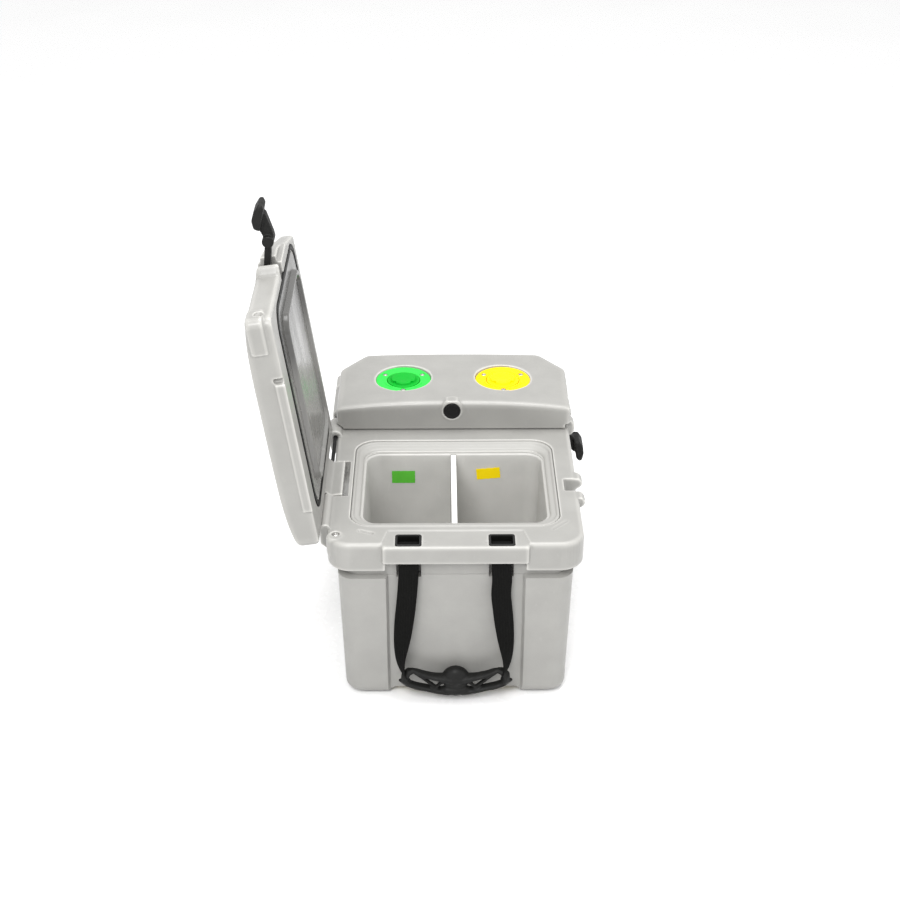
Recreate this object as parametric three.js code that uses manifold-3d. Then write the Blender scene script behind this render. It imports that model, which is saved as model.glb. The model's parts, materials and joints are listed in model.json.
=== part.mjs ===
// Two-lid wash station: a double-walled box with two front tanks and one rear well.
// Millimetres, +Z up. The origin is the centre of the footprint, on the ground.
// -Y is the front end (front carry handle), -X is the hinge side, +X is the latch side.
import * as THREE from 'three';
import { mergeVertices } from 'three/addons/utils/BufferGeometryUtils.js';
import Module from 'manifold-3d';

const wasm = await Module();
wasm.setup();

// ---------------------------------------------------------------- driving dimensions
const RIM = { halfX: 205, halfY: 292, top: 306, bottom: 252, radius: 38 };
const BODY = {
  halfX: 190, halfY: 284, bottom: 0, floor: 8, skinX: 11, skinY: 13, radius: 26, taperX: 0.963, taperY: 0.985,
};
const GAP = 0.4;
const PANEL = { halfX: 112, back: 247, front: 296, bottom: 273, drop: 3 };
const RECESS = { halfX: 110, depth: 8, bottom: -1 };
const SIDE_RECESS = { halfY: 196, depth: 6, bottom: 22, top: 238 };

const SPLIT = { y: 77.5, halfGap: 1.5 };
const LID = { halfX: 207, bottom: 307, thick: 47, wall: 7, bevel: 4, radius: 14, hingeRadius: 16 };
// The front lid's latch side: a narrower near part, full width at the latch, then a tapered far corner.
const FLANK = { nearX: 192, stepFrom: -136, stepTo: -128, taperFrom: -60, farX: 172 };
// The lids' tops are arched across X: rise is the crown's height over a flat lid, at its middle.
const CROWN = { radius: 1970, frontRise: 3, rearRise: 5.5 };
const REAR_EDGE = 284;
const CHAMFER = { x: 45, y: 54 };
const OPEN_ANGLE = THREE.MathUtils.degToRad(98);

const HINGE = { x: -209, z: 303, barrel: 9, pin: 3.5, bore: 3.95 };
// The middle knuckle and the rear keeper's front ear stand up into notches in the lids' lower edges.
const MIDDLE = { barrel: 13, from: 58, to: 110 };
const LUG = { tip: 23, relief: 31, front: [-140, -31], rear: [128, 226] };
const BASE_KNUCKLES = [[-240, -142], [242, 284]];
const PINS = { front_hinge_pin: [-234, 74], rear_hinge_pin: [81, 278] };

const TUB = { wall: 4, mouth: 8, flange: 5, flangeTop: 303, floor: 44, radius: 26, taper: 0.95 };
const FRONT_WELL = { x: 0, y: -96, halfX: 150, halfY: 110, lipX: 20, lipY: 28 };
const REAR_WELL = { x: 0, y: 170, halfX: 150, halfY: 55, lipX: 20, lipY: 20 };
const DIVIDER = { x: -1, half: 4.5, top: 292, groove: 3 };

const LATCH = { x: 184, z: 330, knuckle: 60, width: 18, pin: 3, closed: -73, idle: -13 };
const POCKET = { inner: 168, roof: 346.5, half: 16 };
const LATCH_Y = { front: -108, rear: 136 };
const EAR = { inner: 18.5, outer: 42, from: 200, to: 216, bottom: 290, top: 305, tall: 315.5 };
const HATCH = { x: 90, y: 181, top: 352.2, radius: 49.5, thick: 3, bore: 30, screwCircle: 39 };
// The hatch cap's raised knob, with a scallop for each fingertip.
const CAP = { knob: 22.6, rise: 7, scallop: 5, reach: 24.5, scallops: [-45, 45, 135, 225] };
const LID_PLUG = { x: -3, z: 344.5, radius: 14.5, boss: 20, crest: 363 };

const STRAP = {
  x: 75, half: 16, thick: 3.4, y: 287, pivotZ: 258,
  slotHalfX: 20, slotHalfY: 15.5, slotY: 274.5,
};
const GRIP = { halfX: 90, y: 289, thick: 22, low: 12, high: 64 };
const DRAIN = { x: 140, z: 36, radius: 15 };
const FOOT = { x: 130, y: 222, radius: 20, deep: 4 };

// ---------------------------------------------------------------- materials
const finish = (color, roughness, metalness = 0) =>
  new THREE.MeshStandardMaterial({ color, roughness, metalness });
const FINISH = {
  shell: () => finish(0xc6c5c0, 0.55),
  tank: () => finish(0xb4b3af, 0.5),
  white: () => finish(0xefefec, 0.45),
  foam: () => finish(0xe9dfb4, 0.9),
  rubber: () => finish(0x1e1d1a, 0.75),
  webbing: () => finish(0x151513, 0.9),
  black: () => finish(0x1c1b19, 0.5),
  green: () => finish(0x32d65a, 0.35),
  yellow: () => finish(0xf6d80c, 0.35),
  greenLabel: () => finish(0x52ac3c, 0.6),
  yellowLabel: () => finish(0xecc80c, 0.6),
  steel: () => finish(0xb8b8b8, 0.3, 1),
};

// ---------------------------------------------------------------- solids
const solid = (geometry) => {
  const bare = geometry.clone();
  bare.deleteAttribute('normal');
  bare.deleteAttribute('uv');
  const merged = mergeVertices(bare, 1e-4);
  return new wasm.Manifold(new wasm.Mesh({
    numProp: 3,
    vertProperties: new Float32Array(merged.attributes.position.array),
    triVerts: new Uint32Array(merged.index.array),
  }));
};

const toGeometry = (manifold) => {
  const data = manifold.getMesh();
  const geometry = new THREE.BufferGeometry();
  geometry.setAttribute('position', new THREE.BufferAttribute(new Float32Array(data.vertProperties), 3));
  geometry.setIndex(new THREE.BufferAttribute(new Uint32Array(data.triVerts), 1));
  return geometry;
};

const addPiece = (group, name, manifold, material) => {
  const mesh = new THREE.Mesh(toGeometry(manifold), material);
  mesh.name = name;
  group.add(mesh);
};

const box = (x0, x1, y0, y1, z0, z1) => {
  const geometry = new THREE.BoxGeometry(x1 - x0, y1 - y0, z1 - z0);
  geometry.translate((x0 + x1) / 2, (y0 + y1) / 2, (z0 + z1) / 2);
  return solid(geometry);
};

const extrude = (shape, depth, segments = 4) =>
  new THREE.ExtrudeGeometry(shape, { depth, bevelEnabled: false, curveSegments: segments });

// A flat outline raised from z0 to z1.
const prism = (shape, z0, z1, segments) => solid(extrude(shape, z1 - z0, segments).translate(0, 0, z0));

// An outline drawn in X and Z, extruded from y0 to y1.
const alongY = (shape, y0, y1, segments) =>
  solid(extrude(shape, y1 - y0, segments).rotateX(Math.PI / 2).translate(0, y1, 0));

// An outline drawn in Y and Z, extruded from x0 to x1.
const alongX = (shape, x0, x1) => {
  const turn = new THREE.Matrix4().makeBasis(
    new THREE.Vector3(0, 1, 0), new THREE.Vector3(0, 0, 1), new THREE.Vector3(1, 0, 0));
  return solid(extrude(shape, x1 - x0).applyMatrix4(turn).translate(x0, 0, 0));
};

const roundedRect = (halfX, halfY, radius, x = 0, y = 0) => {
  const shape = new THREE.Shape();
  const quarter = Math.PI / 2;
  shape.absarc(x + halfX - radius, y + halfY - radius, radius, 0, quarter);
  shape.absarc(x - halfX + radius, y + halfY - radius, radius, quarter, 2 * quarter);
  shape.absarc(x - halfX + radius, y - halfY + radius, radius, 2 * quarter, 3 * quarter);
  shape.absarc(x + halfX - radius, y - halfY + radius, radius, 3 * quarter, 4 * quarter);
  return shape;
};

const outline = (points) => new THREE.Shape(points.map(([x, y]) => new THREE.Vector2(x, y)));

// A rounded prism that narrows towards its foot about the point (x, y).
const tapered = (halfX, halfY, radius, z0, z1, kx, ky, x = 0, y = 0) => {
  const geometry = extrude(roundedRect(halfX, halfY, radius), z1 - z0).translate(0, 0, z0);
  const place = geometry.attributes.position;
  for (let i = 0; i < place.count; i += 1) {
    const rise = (place.getZ(i) - z0) / (z1 - z0);
    place.setX(i, place.getX(i) * (kx + (1 - kx) * rise) + x);
    place.setY(i, place.getY(i) * (ky + (1 - ky) * rise) + y);
  }
  return solid(geometry);
};

// A rounded prism with bevelled top and bottom edges.
const bevelled = (shape, z0, z1, bevel, segments = 5) => {
  const geometry = new THREE.ExtrudeGeometry(shape, {
    depth: z1 - z0 - 2 * bevel, bevelThickness: bevel, bevelSize: bevel, bevelOffset: -bevel,
    bevelSegments: 1, curveSegments: segments,
  });
  return solid(geometry.translate(0, 0, z0 + bevel));
};

const rod = (radius, x, z, y0, y1, sides = 12) => {
  const geometry = new THREE.CylinderGeometry(radius, radius, y1 - y0, sides);
  return solid(geometry.translate(x, (y0 + y1) / 2, z));
};

const post = (radius, x, y, z0, z1, sides = 24) => {
  const geometry = new THREE.CylinderGeometry(radius, radius, z1 - z0, sides);
  return solid(geometry.rotateX(Math.PI / 2).translate(x, y, (z0 + z1) / 2));
};

const union = (...solids) => solids.reduce((sum, next) => sum.add(next));
const cut = (from, ...tools) => tools.reduce((left, tool) => left.subtract(tool), from);
const mirrorY = (manifold) => manifold.mirror([0, 1, 0]);
const mirrorX = (manifold) => manifold.mirror([1, 0, 0]);

// ---------------------------------------------------------------- base
const rimOutline = () => roundedRect(RIM.halfX, RIM.halfY - 3, RIM.radius);

const handlePanel = () => {
  const flank = PANEL.halfX + 8;
  return prism(outline([
    [-PANEL.halfX, -PANEL.front], [PANEL.halfX, -PANEL.front], [flank, -PANEL.front + 9],
    [flank, -PANEL.back], [-flank, -PANEL.back], [-flank, -PANEL.front + 9],
  ]), PANEL.bottom, RIM.top - PANEL.drop);
};

const hingeBlock = (y0, y1, barrel) => {
  const shape = outline([[-196, 262], [-207, 266], [HINGE.x - HINGE.barrel, 280]]);
  shape.lineTo(HINGE.x - barrel, HINGE.z - 2);
  shape.absarc(HINGE.x, HINGE.z, barrel, Math.PI, 0, true);
  shape.lineTo(-196, HINGE.z);
  return alongY(shape, y0, y1);
};

const ear = (y0, y1, top) => alongY(outline([
  [EAR.from, EAR.bottom - 10], [EAR.to - 5, EAR.bottom], [EAR.to, EAR.bottom + 2],
  [EAR.to, top - 4], [EAR.to - 4, top], [EAR.from, top],
]), y0, y1);

const keeper = (y, frontTop) => union(
  ear(y - EAR.outer, y - EAR.inner, frontTop), ear(y + EAR.inner, y + EAR.outer, EAR.top));

const latchGroove = (y) => {
  const outside = EAR.to + 14;
  const profile = outline([
    [LATCH.x - 3, RIM.top + 2], [LATCH.x - 1, 292], [LATCH.x + 2, 266], [LATCH.x + 8, 248],
    [outside, 248], [outside, RIM.top + 2],
  ]);
  return alongY(profile, y - EAR.inner, y + EAR.inner);
};

const strapSlot = (x, y) => box(
  x - STRAP.slotHalfX, x + STRAP.slotHalfX, y - STRAP.slotHalfY, y + STRAP.slotHalfY,
  PANEL.bottom - 30, RIM.top + 2,
);

const tubHole = (well) => {
  const halfX = well.halfX + well.lipX;
  const halfY = well.halfY + well.lipY;
  return union(
    tapered(halfX + GAP, halfY + GAP, TUB.radius + 10, TUB.flangeTop - TUB.flange - GAP, RIM.top + 1, 1, 1,
      well.x, well.y),
    tapered(halfX - 8, halfY - 8, TUB.radius, 200, TUB.flangeTop, 1, 1, well.x, well.y),
  );
};

const buildBaseShell = () => {
  const endRecess = box(-RECESS.halfX, RECESS.halfX, -RIM.halfY, -BODY.halfY + RECESS.depth,
    RECESS.bottom, PANEL.bottom);
  const endUndercut = box(-PANEL.halfX, PANEL.halfX, -RIM.halfY - 10, -BODY.halfY + RECESS.depth,
    RIM.bottom - 2, PANEL.bottom);
  const sideRecess = box(BODY.halfX - SIDE_RECESS.depth, RIM.halfX + 10,
    -SIDE_RECESS.halfY, SIDE_RECESS.halfY, SIDE_RECESS.bottom, SIDE_RECESS.top);
  let shell = union(
    tapered(BODY.halfX, BODY.halfY, BODY.radius, BODY.bottom, RIM.bottom + 1, BODY.taperX, BODY.taperY),
    prism(rimOutline(), RIM.bottom, RIM.top, 6),
    handlePanel(), mirrorY(handlePanel()),
    ...BASE_KNUCKLES.map(([y0, y1]) => hingeBlock(y0, y1, HINGE.barrel)),
    hingeBlock(MIDDLE.from, MIDDLE.to, MIDDLE.barrel),
    keeper(LATCH_Y.front, EAR.top), keeper(LATCH_Y.rear, EAR.tall),
  );
  const panelStep = prism(outline([
    [-PANEL.halfX, -RIM.halfY - 8], [PANEL.halfX, -RIM.halfY - 8],
    [PANEL.halfX - 8, -PANEL.back], [-PANEL.halfX + 8, -PANEL.back],
  ]), RIM.top - PANEL.drop, RIM.top + 1);
  const hollow = tapered(BODY.halfX - BODY.skinX, BODY.halfY - BODY.skinY, BODY.radius - 8,
    BODY.floor, RIM.bottom, BODY.taperX, BODY.taperY);
  const rimHollow = tapered(BODY.halfX - BODY.skinX, PANEL.back - 4, BODY.radius,
    RIM.bottom - 1, 290, 1, 1);
  shell = cut(shell, endRecess, mirrorY(endRecess), endUndercut, mirrorY(endUndercut),
    sideRecess, mirrorX(sideRecess), panelStep, mirrorY(panelStep), hollow, rimHollow,
    tubHole(FRONT_WELL), tubHole(REAR_WELL), latchGroove(LATCH_Y.front), latchGroove(LATCH_Y.rear));
  for (const [y0, y1] of [LUG.front, LUG.rear]) {
    shell = cut(shell, rod(LUG.relief, HINGE.x, HINGE.z, y0 - 2, y1 + 2, 32));
  }
  for (const [y0, y1] of Object.values(PINS)) {
    shell = cut(shell, rod(HINGE.bore, HINGE.x, HINGE.z, y0 - 0.5, y1 + 0.5));
  }
  for (const x of [-STRAP.x, STRAP.x]) {
    shell = cut(shell, strapSlot(x, -STRAP.slotY), strapSlot(x, STRAP.slotY));
  }
  for (const y of [-SCREW.baseY, SCREW.baseY]) {
    shell = cut(shell, screwHole(SCREW.baseX, y, RIM.top));
  }
  for (const [x, y] of footPlaces()) {
    shell = cut(shell, post(FOOT.radius + 0.5, x, y, BODY.bottom - 1, FOOT.deep));
  }
  return cut(shell, drainBore());
};

// The rim side that carries the hinges, and the two parts of the latch side, as spans in X and in Y.
const RIM_ZONES = {
  hinge_rail: [[-240, -179], [-400, 400]],
  front_keeper: [[178, 240], [-400, LATCH_Y.rear - 50]],
  rear_keeper: [[178, 240], [LATCH_Y.rear - 50, 400]],
};
const RIM_ZONE_BOTTOM = 244;

const rimZone = ([[x0, x1], [y0, y1]], gap) =>
  box(x0 + gap, x1 - gap, y0 + gap, y1 - gap, RIM_ZONE_BOTTOM + gap, 400);

const footPlaces = () => [-1, 1].flatMap((sy) => [-1, 1].map((sx) => [sx * FOOT.x, sy * FOOT.y]));

const drainSeatY = BODY.halfY - 13;

const drainBore = () => union(
  rod(DRAIN.radius - 4 + GAP, DRAIN.x, DRAIN.z, BODY.halfY - 60, BODY.halfY + 20, 24),
  rod(DRAIN.radius + 4, DRAIN.x, DRAIN.z, drainSeatY, BODY.halfY + 20, 24),
);

// ---------------------------------------------------------------- fasteners
const SCREW = { head: 5, shank: 2.5, baseX: -191, baseY: 256, lidX: 191.5, lidY: -273, lidZ: 326 };

const screwHole = (x, y, top) => union(
  post(SCREW.head + 1, x, y, top - 4, top + 5), post(SCREW.shank + 0.4, x, y, top - 17, top));

// A countersunk screw, head up, with a cross of two slots in its head.
const screw = (x, y, top, headRadius, shankRadius, length) => {
  const slot = headRadius * 0.7;
  const thick = headRadius * 0.4;
  return cut(
    union(post(headRadius, x, y, top - thick, top, 12), post(shankRadius, x, y, top - length, top - 1, 8)),
    box(x - slot, x + slot, y - 0.6, y + 0.6, top - 0.9, top + 1),
    box(x - 0.6, x + 0.6, y - slot, y + slot, top - 0.9, top + 1),
  );
};

// ---------------------------------------------------------------- tubs
const wellCavity = (well, z0, z1) => tapered(well.halfX, well.halfY, TUB.radius, z0, z1,
  TUB.taper, TUB.taper, well.x, well.y);

const wellOuter = (well) => tapered(well.halfX + TUB.wall, well.halfY + TUB.wall, TUB.radius + TUB.wall,
  TUB.floor - TUB.wall, TUB.flangeTop - 1, TUB.taper, TUB.taper, well.x, well.y);

// The tub's flange outline, grown by an offset: everything that seals round a well follows it.
const sealRect = (well, offset) => roundedRect(
  well.halfX + well.lipX + offset, well.halfY + well.lipY + offset,
  TUB.radius + 10 + offset, well.x, well.y);

const buildTub = (well) => {
  const flange = prism(sealRect(well, 0), TUB.flangeTop - TUB.flange, TUB.flangeTop);
  const [wideX, wideY] = [well.halfX + TUB.mouth, well.halfY + TUB.mouth];
  const mouth = tapered(wideX, wideY, TUB.radius + 6, TUB.flangeTop - 9, TUB.flangeTop + 1,
    (well.halfX + 0.5) / wideX, (well.halfY + 0.5) / wideY, well.x, well.y);
  return cut(union(flange, wellOuter(well)), wellCavity(well, TUB.floor, TUB.flangeTop + 0.5), mouth);
};

const dividerOutline = (grow) => {
  const top = DIVIDER.top;
  const foot = TUB.floor + 0.8;
  const share = (z) => (z - TUB.floor) / (TUB.flangeTop - TUB.floor);
  const reach = (z) => FRONT_WELL.halfY * (TUB.taper + (1 - TUB.taper) * share(z));
  const spread = DIVIDER.groove - GAP - 0.4 + grow;
  return outline([
    [FRONT_WELL.y - reach(foot) - spread, foot - grow], [FRONT_WELL.y + reach(foot) + spread, foot - grow],
    [FRONT_WELL.y + reach(top) + spread, top + grow * 40],
    [FRONT_WELL.y - reach(top) - spread, top + grow * 40],
  ]);
};

// The divider slab, or with grow above 0 the pair of grooves that it slides in.
const dividerSlab = (grow) => {
  const half = DIVIDER.half + grow;
  return alongX(dividerOutline(grow), DIVIDER.x - half, DIVIDER.x + half);
};

const buildLabel = (group, name, x, z, halfX, halfZ, tilt, material) => {
  const lean = Math.atan(FRONT_WELL.halfY * (1 - TUB.taper) / (TUB.flangeTop - TUB.floor));
  const rise = (z - TUB.floor) / (TUB.flangeTop - TUB.floor);
  const wallY = FRONT_WELL.y + FRONT_WELL.halfY * (TUB.taper + (1 - TUB.taper) * rise);
  const mesh = new THREE.Mesh(new THREE.BoxGeometry(2 * halfX, 0.8, 2 * halfZ), material);
  mesh.name = name;
  mesh.rotation.set(-lean, tilt, 0);
  mesh.position.set(x, wallY - 0.8, z);
  group.add(mesh);
};

// ---------------------------------------------------------------- foam
const buildBaseFoam = () => {
  const shrink = 1;
  const core = tapered(BODY.halfX - BODY.skinX - shrink, BODY.halfY - BODY.skinY - shrink, BODY.radius - 9,
    BODY.floor + shrink, 250, BODY.taperX, BODY.taperY);
  const clearTub = (well) => tapered(well.halfX + TUB.wall + shrink, well.halfY + TUB.wall + shrink,
    TUB.radius + TUB.wall, TUB.floor - TUB.wall - shrink, 260,
    TUB.taper + 0.005, TUB.taper + 0.005, well.x, well.y);
  const slots = [-1, 1].flatMap((sx) => [-1, 1].map((sy) =>
    box(sx * STRAP.x - 24, sx * STRAP.x + 24, sy * STRAP.slotY - 20, sy * STRAP.slotY + 20, 230, 260)));
  const reliefs = [LUG.front, LUG.rear].map(([y0, y1]) =>
    rod(LUG.relief + 4, HINGE.x, HINGE.z, y0 - 6, y1 + 6, 24));
  const drainClear = rod(DRAIN.radius + 6, DRAIN.x, DRAIN.z, 200, 300, 16);
  return cut(core, clearTub(FRONT_WELL), clearTub(REAR_WELL), ...slots, ...reliefs, drainClear);
};

// ---------------------------------------------------------------- lids
const frontLidOutline = () => {
  const y0 = -RIM.halfY - 1;
  const y1 = SPLIT.y - SPLIT.halfGap;
  const { radius, hingeRadius } = LID;
  const shape = new THREE.Shape();
  shape.moveTo(FLANK.farX, y1);
  shape.lineTo(-LID.halfX, y1);
  shape.absarc(-LID.halfX + hingeRadius, y0 + hingeRadius, hingeRadius, Math.PI, Math.PI * 1.5);
  shape.absarc(FLANK.nearX - radius, y0 + radius, radius, Math.PI * 1.5, Math.PI * 2);
  shape.lineTo(FLANK.nearX, FLANK.stepFrom);
  shape.lineTo(LID.halfX, FLANK.stepTo);
  shape.lineTo(LID.halfX, FLANK.taperFrom);
  return shape;
};

const rearLidOutline = () => {
  const y0 = SPLIT.y + SPLIT.halfGap;
  const [halfX, y1, soft] = [LID.halfX, REAR_EDGE, 3];
  return outline([
    [-halfX + soft, y0], [halfX - soft, y0], [halfX, y0 + soft], [halfX, y1 - CHAMFER.y],
    [halfX - CHAMFER.x, y1], [-halfX + CHAMFER.x, y1], [-halfX, y1 - CHAMFER.y], [-halfX, y0 + soft],
  ]);
};

const hingeLug = ([y0, y1]) => {
  const shape = new THREE.Shape();
  shape.moveTo(HINGE.x + 3, HINGE.z - LUG.tip);
  shape.lineTo(HINGE.x + 3, HINGE.z - 4);
  shape.lineTo(HINGE.x + 14, HINGE.z + 5);
  shape.lineTo(HINGE.x + 14, HINGE.z + 20);
  shape.lineTo(HINGE.x + 1, HINGE.z + 20);
  shape.lineTo(HINGE.x - HINGE.barrel + 1, HINGE.z + 10);
  shape.lineTo(HINGE.x - HINGE.barrel + 1, HINGE.z - LUG.tip + 4);
  shape.lineTo(HINGE.x - HINGE.barrel + 4, HINGE.z - LUG.tip);
  return alongY(shape, y0, y1);
};

const latchPocket = (y) => {
  const mouth = LID.halfX + 10;
  const profile = outline([
    [POCKET.inner, LID.bottom + 10], [POCKET.inner, POCKET.roof - 4], [POCKET.inner + 4, POCKET.roof],
    [mouth, POCKET.roof], [mouth, LID.bottom - 2], [LATCH.x - 6, LID.bottom - 2],
  ]);
  return alongY(profile, y - POCKET.half, y + POCKET.half);
};

// Everything under a wide arc across X, whose crest is at the height given.
const underCrown = (crest) => {
  const foot = LID.bottom - 60;
  const reach = Math.asin((LID.halfX + 10) / CROWN.radius);
  const shape = new THREE.Shape();
  shape.absarc(0, crest - CROWN.radius, CROWN.radius, Math.PI / 2 - reach, Math.PI / 2 + reach);
  shape.lineTo(-LID.halfX - 10, foot);
  shape.lineTo(LID.halfX + 10, foot);
  return alongY(shape, -400, 400, 14);
};

const lidShell = (shape, well, lug, latchY, rise) => {
  const top = LID.bottom + LID.thick;
  const relief = rod(HINGE.barrel + 1.2, HINGE.x, HINGE.z, -400, 400, 16);
  const middleRelief = rod(MIDDLE.barrel + 1.2, HINGE.x, HINGE.z, MIDDLE.from - 2, MIDDLE.to + 2, 24);
  const arched = bevelled(shape, LID.bottom, top + rise, LID.bevel).intersect(underCrown(top + rise));
  const block = union(cut(arched, relief, middleRelief), hingeLug(lug));
  return cut(block,
    rod(HINGE.bore, HINGE.x, HINGE.z, -400, 400),
    prism(sealRect(well, -5), LID.bottom - 1, top - LID.wall),
    prism(sealRect(well, -1), LID.bottom - 1, LID.bottom + 4),
    gasketRing(well, 1.6, 6.4, LID.bottom - 1, LID.bottom + 3),
    latchPocket(latchY),
    rod(LATCH.pin + 0.4, LATCH.x, LATCH.z, latchY - 26, latchY + 26));
};

const gasketRing = (well, inner, outer, z0, z1) =>
  cut(prism(sealRect(well, outer), z0, z1), prism(sealRect(well, inner), z0 - 1, z1 + 1));

const lidGasket = (well) => gasketRing(well, 2, 6, LID.bottom - 0.6, LID.bottom + 2.6);

// Turns a piece that stands on the origin so that it points out of the front lid's latch side.
const ontoFlank = (piece) => piece.rotate([0, 90, 0]).translate([SCREW.lidX, SCREW.lidY, SCREW.lidZ]);

const buildFrontLidShell = () => {
  const shell = lidShell(frontLidOutline(), FRONT_WELL, LUG.front, LATCH_Y.front, CROWN.frontRise);
  return cut(shell, ontoFlank(screwHole(0, 0, 0)));
};

const hatchHoles = (radius, z0, z1) => union(
  post(radius, -HATCH.x, HATCH.y, z0, z1, 24), post(radius, HATCH.x, HATCH.y, z0, z1, 24));

const buildRearLidShell = () => {
  const top = HATCH.top;
  const face = SPLIT.y + SPLIT.halfGap;
  const { x, z, radius } = LID_PLUG;
  const boss = cut(rod(LID_PLUG.boss, x, z, face - 0.6, face + 20, 24),
    box(x - 30, x + 30, 0, 200, LID_PLUG.crest, LID_PLUG.crest + 30));
  const earNotch = box(EAR.from - 2, LID.halfX + 10, face - 5, LATCH_Y.rear - EAR.inner + 1,
    LID.bottom - 5, EAR.tall + 1.5);
  const pilots = hatchScrewPlaces().map(([px, py]) => post(2.1, px, py, top - 9, top, 10));
  const shell = lidShell(rearLidOutline(), REAR_WELL, LUG.rear, LATCH_Y.rear, CROWN.rearRise);
  return cut(union(shell, boss), earNotch,
    rod(radius - 3, x, z, face - 6, face + 14, 20), rod(radius + 0.5, x, z, face - 6, face + 3, 24),
    hatchHoles(HATCH.radius + 0.5, top - 1.2, top + 15), hatchHoles(HATCH.bore + 4.6, top - 20, top),
    ...pilots);
};

const lidPanel = (well) => {
  const raised = prism(roundedRect(well.halfX - 4, well.halfY - 4, TUB.radius, well.x, well.y),
    LID.bottom - 9, LID.bottom + 1);
  const hollow = prism(roundedRect(well.halfX - 8, well.halfY - 8, TUB.radius - 4, well.x, well.y),
    LID.bottom - 5, LID.bottom + 4);
  return cut(union(raised, prism(sealRect(well, -1.4), LID.bottom, LID.bottom + 3.6)), hollow);
};

const lidFoam = (well) => prism(
  sealRect(well, -6), LID.bottom + 4.5, LID.bottom + LID.thick - LID.wall - 0.5);

// ---------------------------------------------------------------- hatches
const hatchScrewPlaces = () => [-1, 1].flatMap((side) => [-90, 30, 150].map((degrees) => {
  const turn = THREE.MathUtils.degToRad(degrees);
  return [
    side * HATCH.x + HATCH.screwCircle * Math.cos(turn), HATCH.y + HATCH.screwCircle * Math.sin(turn),
  ];
}));

const hatchFlange = (x) => {
  const top = HATCH.top;
  const seat = top - 0.8;
  const ring = union(
    post(HATCH.radius, x, HATCH.y, seat, seat + HATCH.thick, 28),
    post(HATCH.bore + 4, x, HATCH.y, top - 14, seat + 1, 24),
  );
  const holes = hatchScrewPlaces().map(([sx, sy]) => union(
    post(2.4, sx, sy, top - 3, top + 5, 8), post(4.9, sx, sy, top + 0.2, top + 5, 12)));
  return cut(ring,
    post(HATCH.bore, x, HATCH.y, top - 4, top + 6, 24),
    post(HATCH.bore - 3.5, x, HATCH.y, top - 20, top, 24), ...holes);
};

const hatchSeal = (x) => {
  const z = HATCH.top - 2.4;
  const ring = new THREE.TorusGeometry(28, 1.2, 6, 18).translate(x, HATCH.y, z);
  return solid(ring);
};

const hatchCap = (x) => {
  const { top, y } = HATCH;
  const plate = post(HATCH.bore - 0.7, x, y, top - 0.8, top + 2.6, 24);
  const skirt = post(HATCH.bore - 4.3, x, y, top - 12, top, 24);
  const knob = post(CAP.knob, x, y, top, top + CAP.rise, 28);
  const scallops = CAP.scallops.map((degrees) => {
    const angle = THREE.MathUtils.degToRad(degrees);
    const [dx, dy] = [Math.cos(angle) * CAP.reach, Math.sin(angle) * CAP.reach];
    return post(CAP.scallop, x + dx, y + dy, top + 2.6, top + 10, 12);
  });
  return cut(union(plate, skirt, knob), ...scallops);
};

// ---------------------------------------------------------------- latches
// The latch lies along +X from its pivot, with its outward side up: a flared foot, a flat stem,
// a round knuckle, and a cranked neck that carries the pull bar.
const latchProfile = () => {
  const shape = new THREE.Shape();
  shape.moveTo(-10, -11);
  shape.lineTo(1, -5.5);
  shape.lineTo(LATCH.knuckle - 9, -5);
  shape.absarc(LATCH.knuckle, 0, 9, Math.PI * 1.15, Math.PI * 1.75);
  shape.lineTo(LATCH.knuckle + 13, -6);
  shape.lineTo(LATCH.knuckle + 40, 7);
  shape.lineTo(LATCH.knuckle + 18, 14);
  shape.lineTo(LATCH.knuckle + 4, 8);
  shape.lineTo(LATCH.knuckle - 8, 5);
  shape.lineTo(1, 5.5);
  shape.lineTo(-10, 12);
  return shape;
};

const pullBarProfile = () => {
  const bar = LATCH.knuckle + 17;
  return outline([
    [bar, 12.5], [bar + 20, 9], [bar + 35, 8.5], [bar + 42.5, 11], [bar + 42, 16], [bar + 30, 23],
    [bar + 18, 25.5], [bar + 4, 21], [bar - 0.5, 17.5],
  ]);
};

const latchSolid = () => {
  const half = LATCH.width / 2;
  const body = alongY(latchProfile(), -half, half);
  const knuckle = rod(8.6, LATCH.knuckle, 0, -17, 17, 16);
  const bar = alongY(pullBarProfile(), -22, 22);
  return union(body, knuckle, bar).subtract(rod(LATCH.pin + 0.4, 0, 0, -half - 2, half + 2));
};

const addLatch = (lid, name, y, degrees) => {
  const swing = new THREE.Group();
  swing.position.set(LATCH.x, y, LATCH.z);
  swing.rotation.y = -THREE.MathUtils.degToRad(degrees);
  addPiece(swing, `${name}_latch`, latchSolid(), FINISH.rubber());
  lid.add(swing);
  addPiece(lid, `${name}_latch_pin`, rod(LATCH.pin, LATCH.x, LATCH.z, y - 25, y + 25), FINISH.steel());
};

// ---------------------------------------------------------------- carry handles
// One handle at the front end; the rear one is the same piece turned half a turn about Z.
const strapOutline = () => {
  const { x, half, pivotZ } = STRAP;
  const shape = new THREE.Shape();
  shape.moveTo(x + half, pivotZ);
  shape.quadraticCurveTo(x + half + 11, 130, x + 19, GRIP.high + 2);
  shape.lineTo(x + 9, GRIP.high + 2);
  shape.quadraticCurveTo(x + 1, 112, x - 11, 192);
  shape.lineTo(x - half, pivotZ);
  return shape;
};

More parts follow.
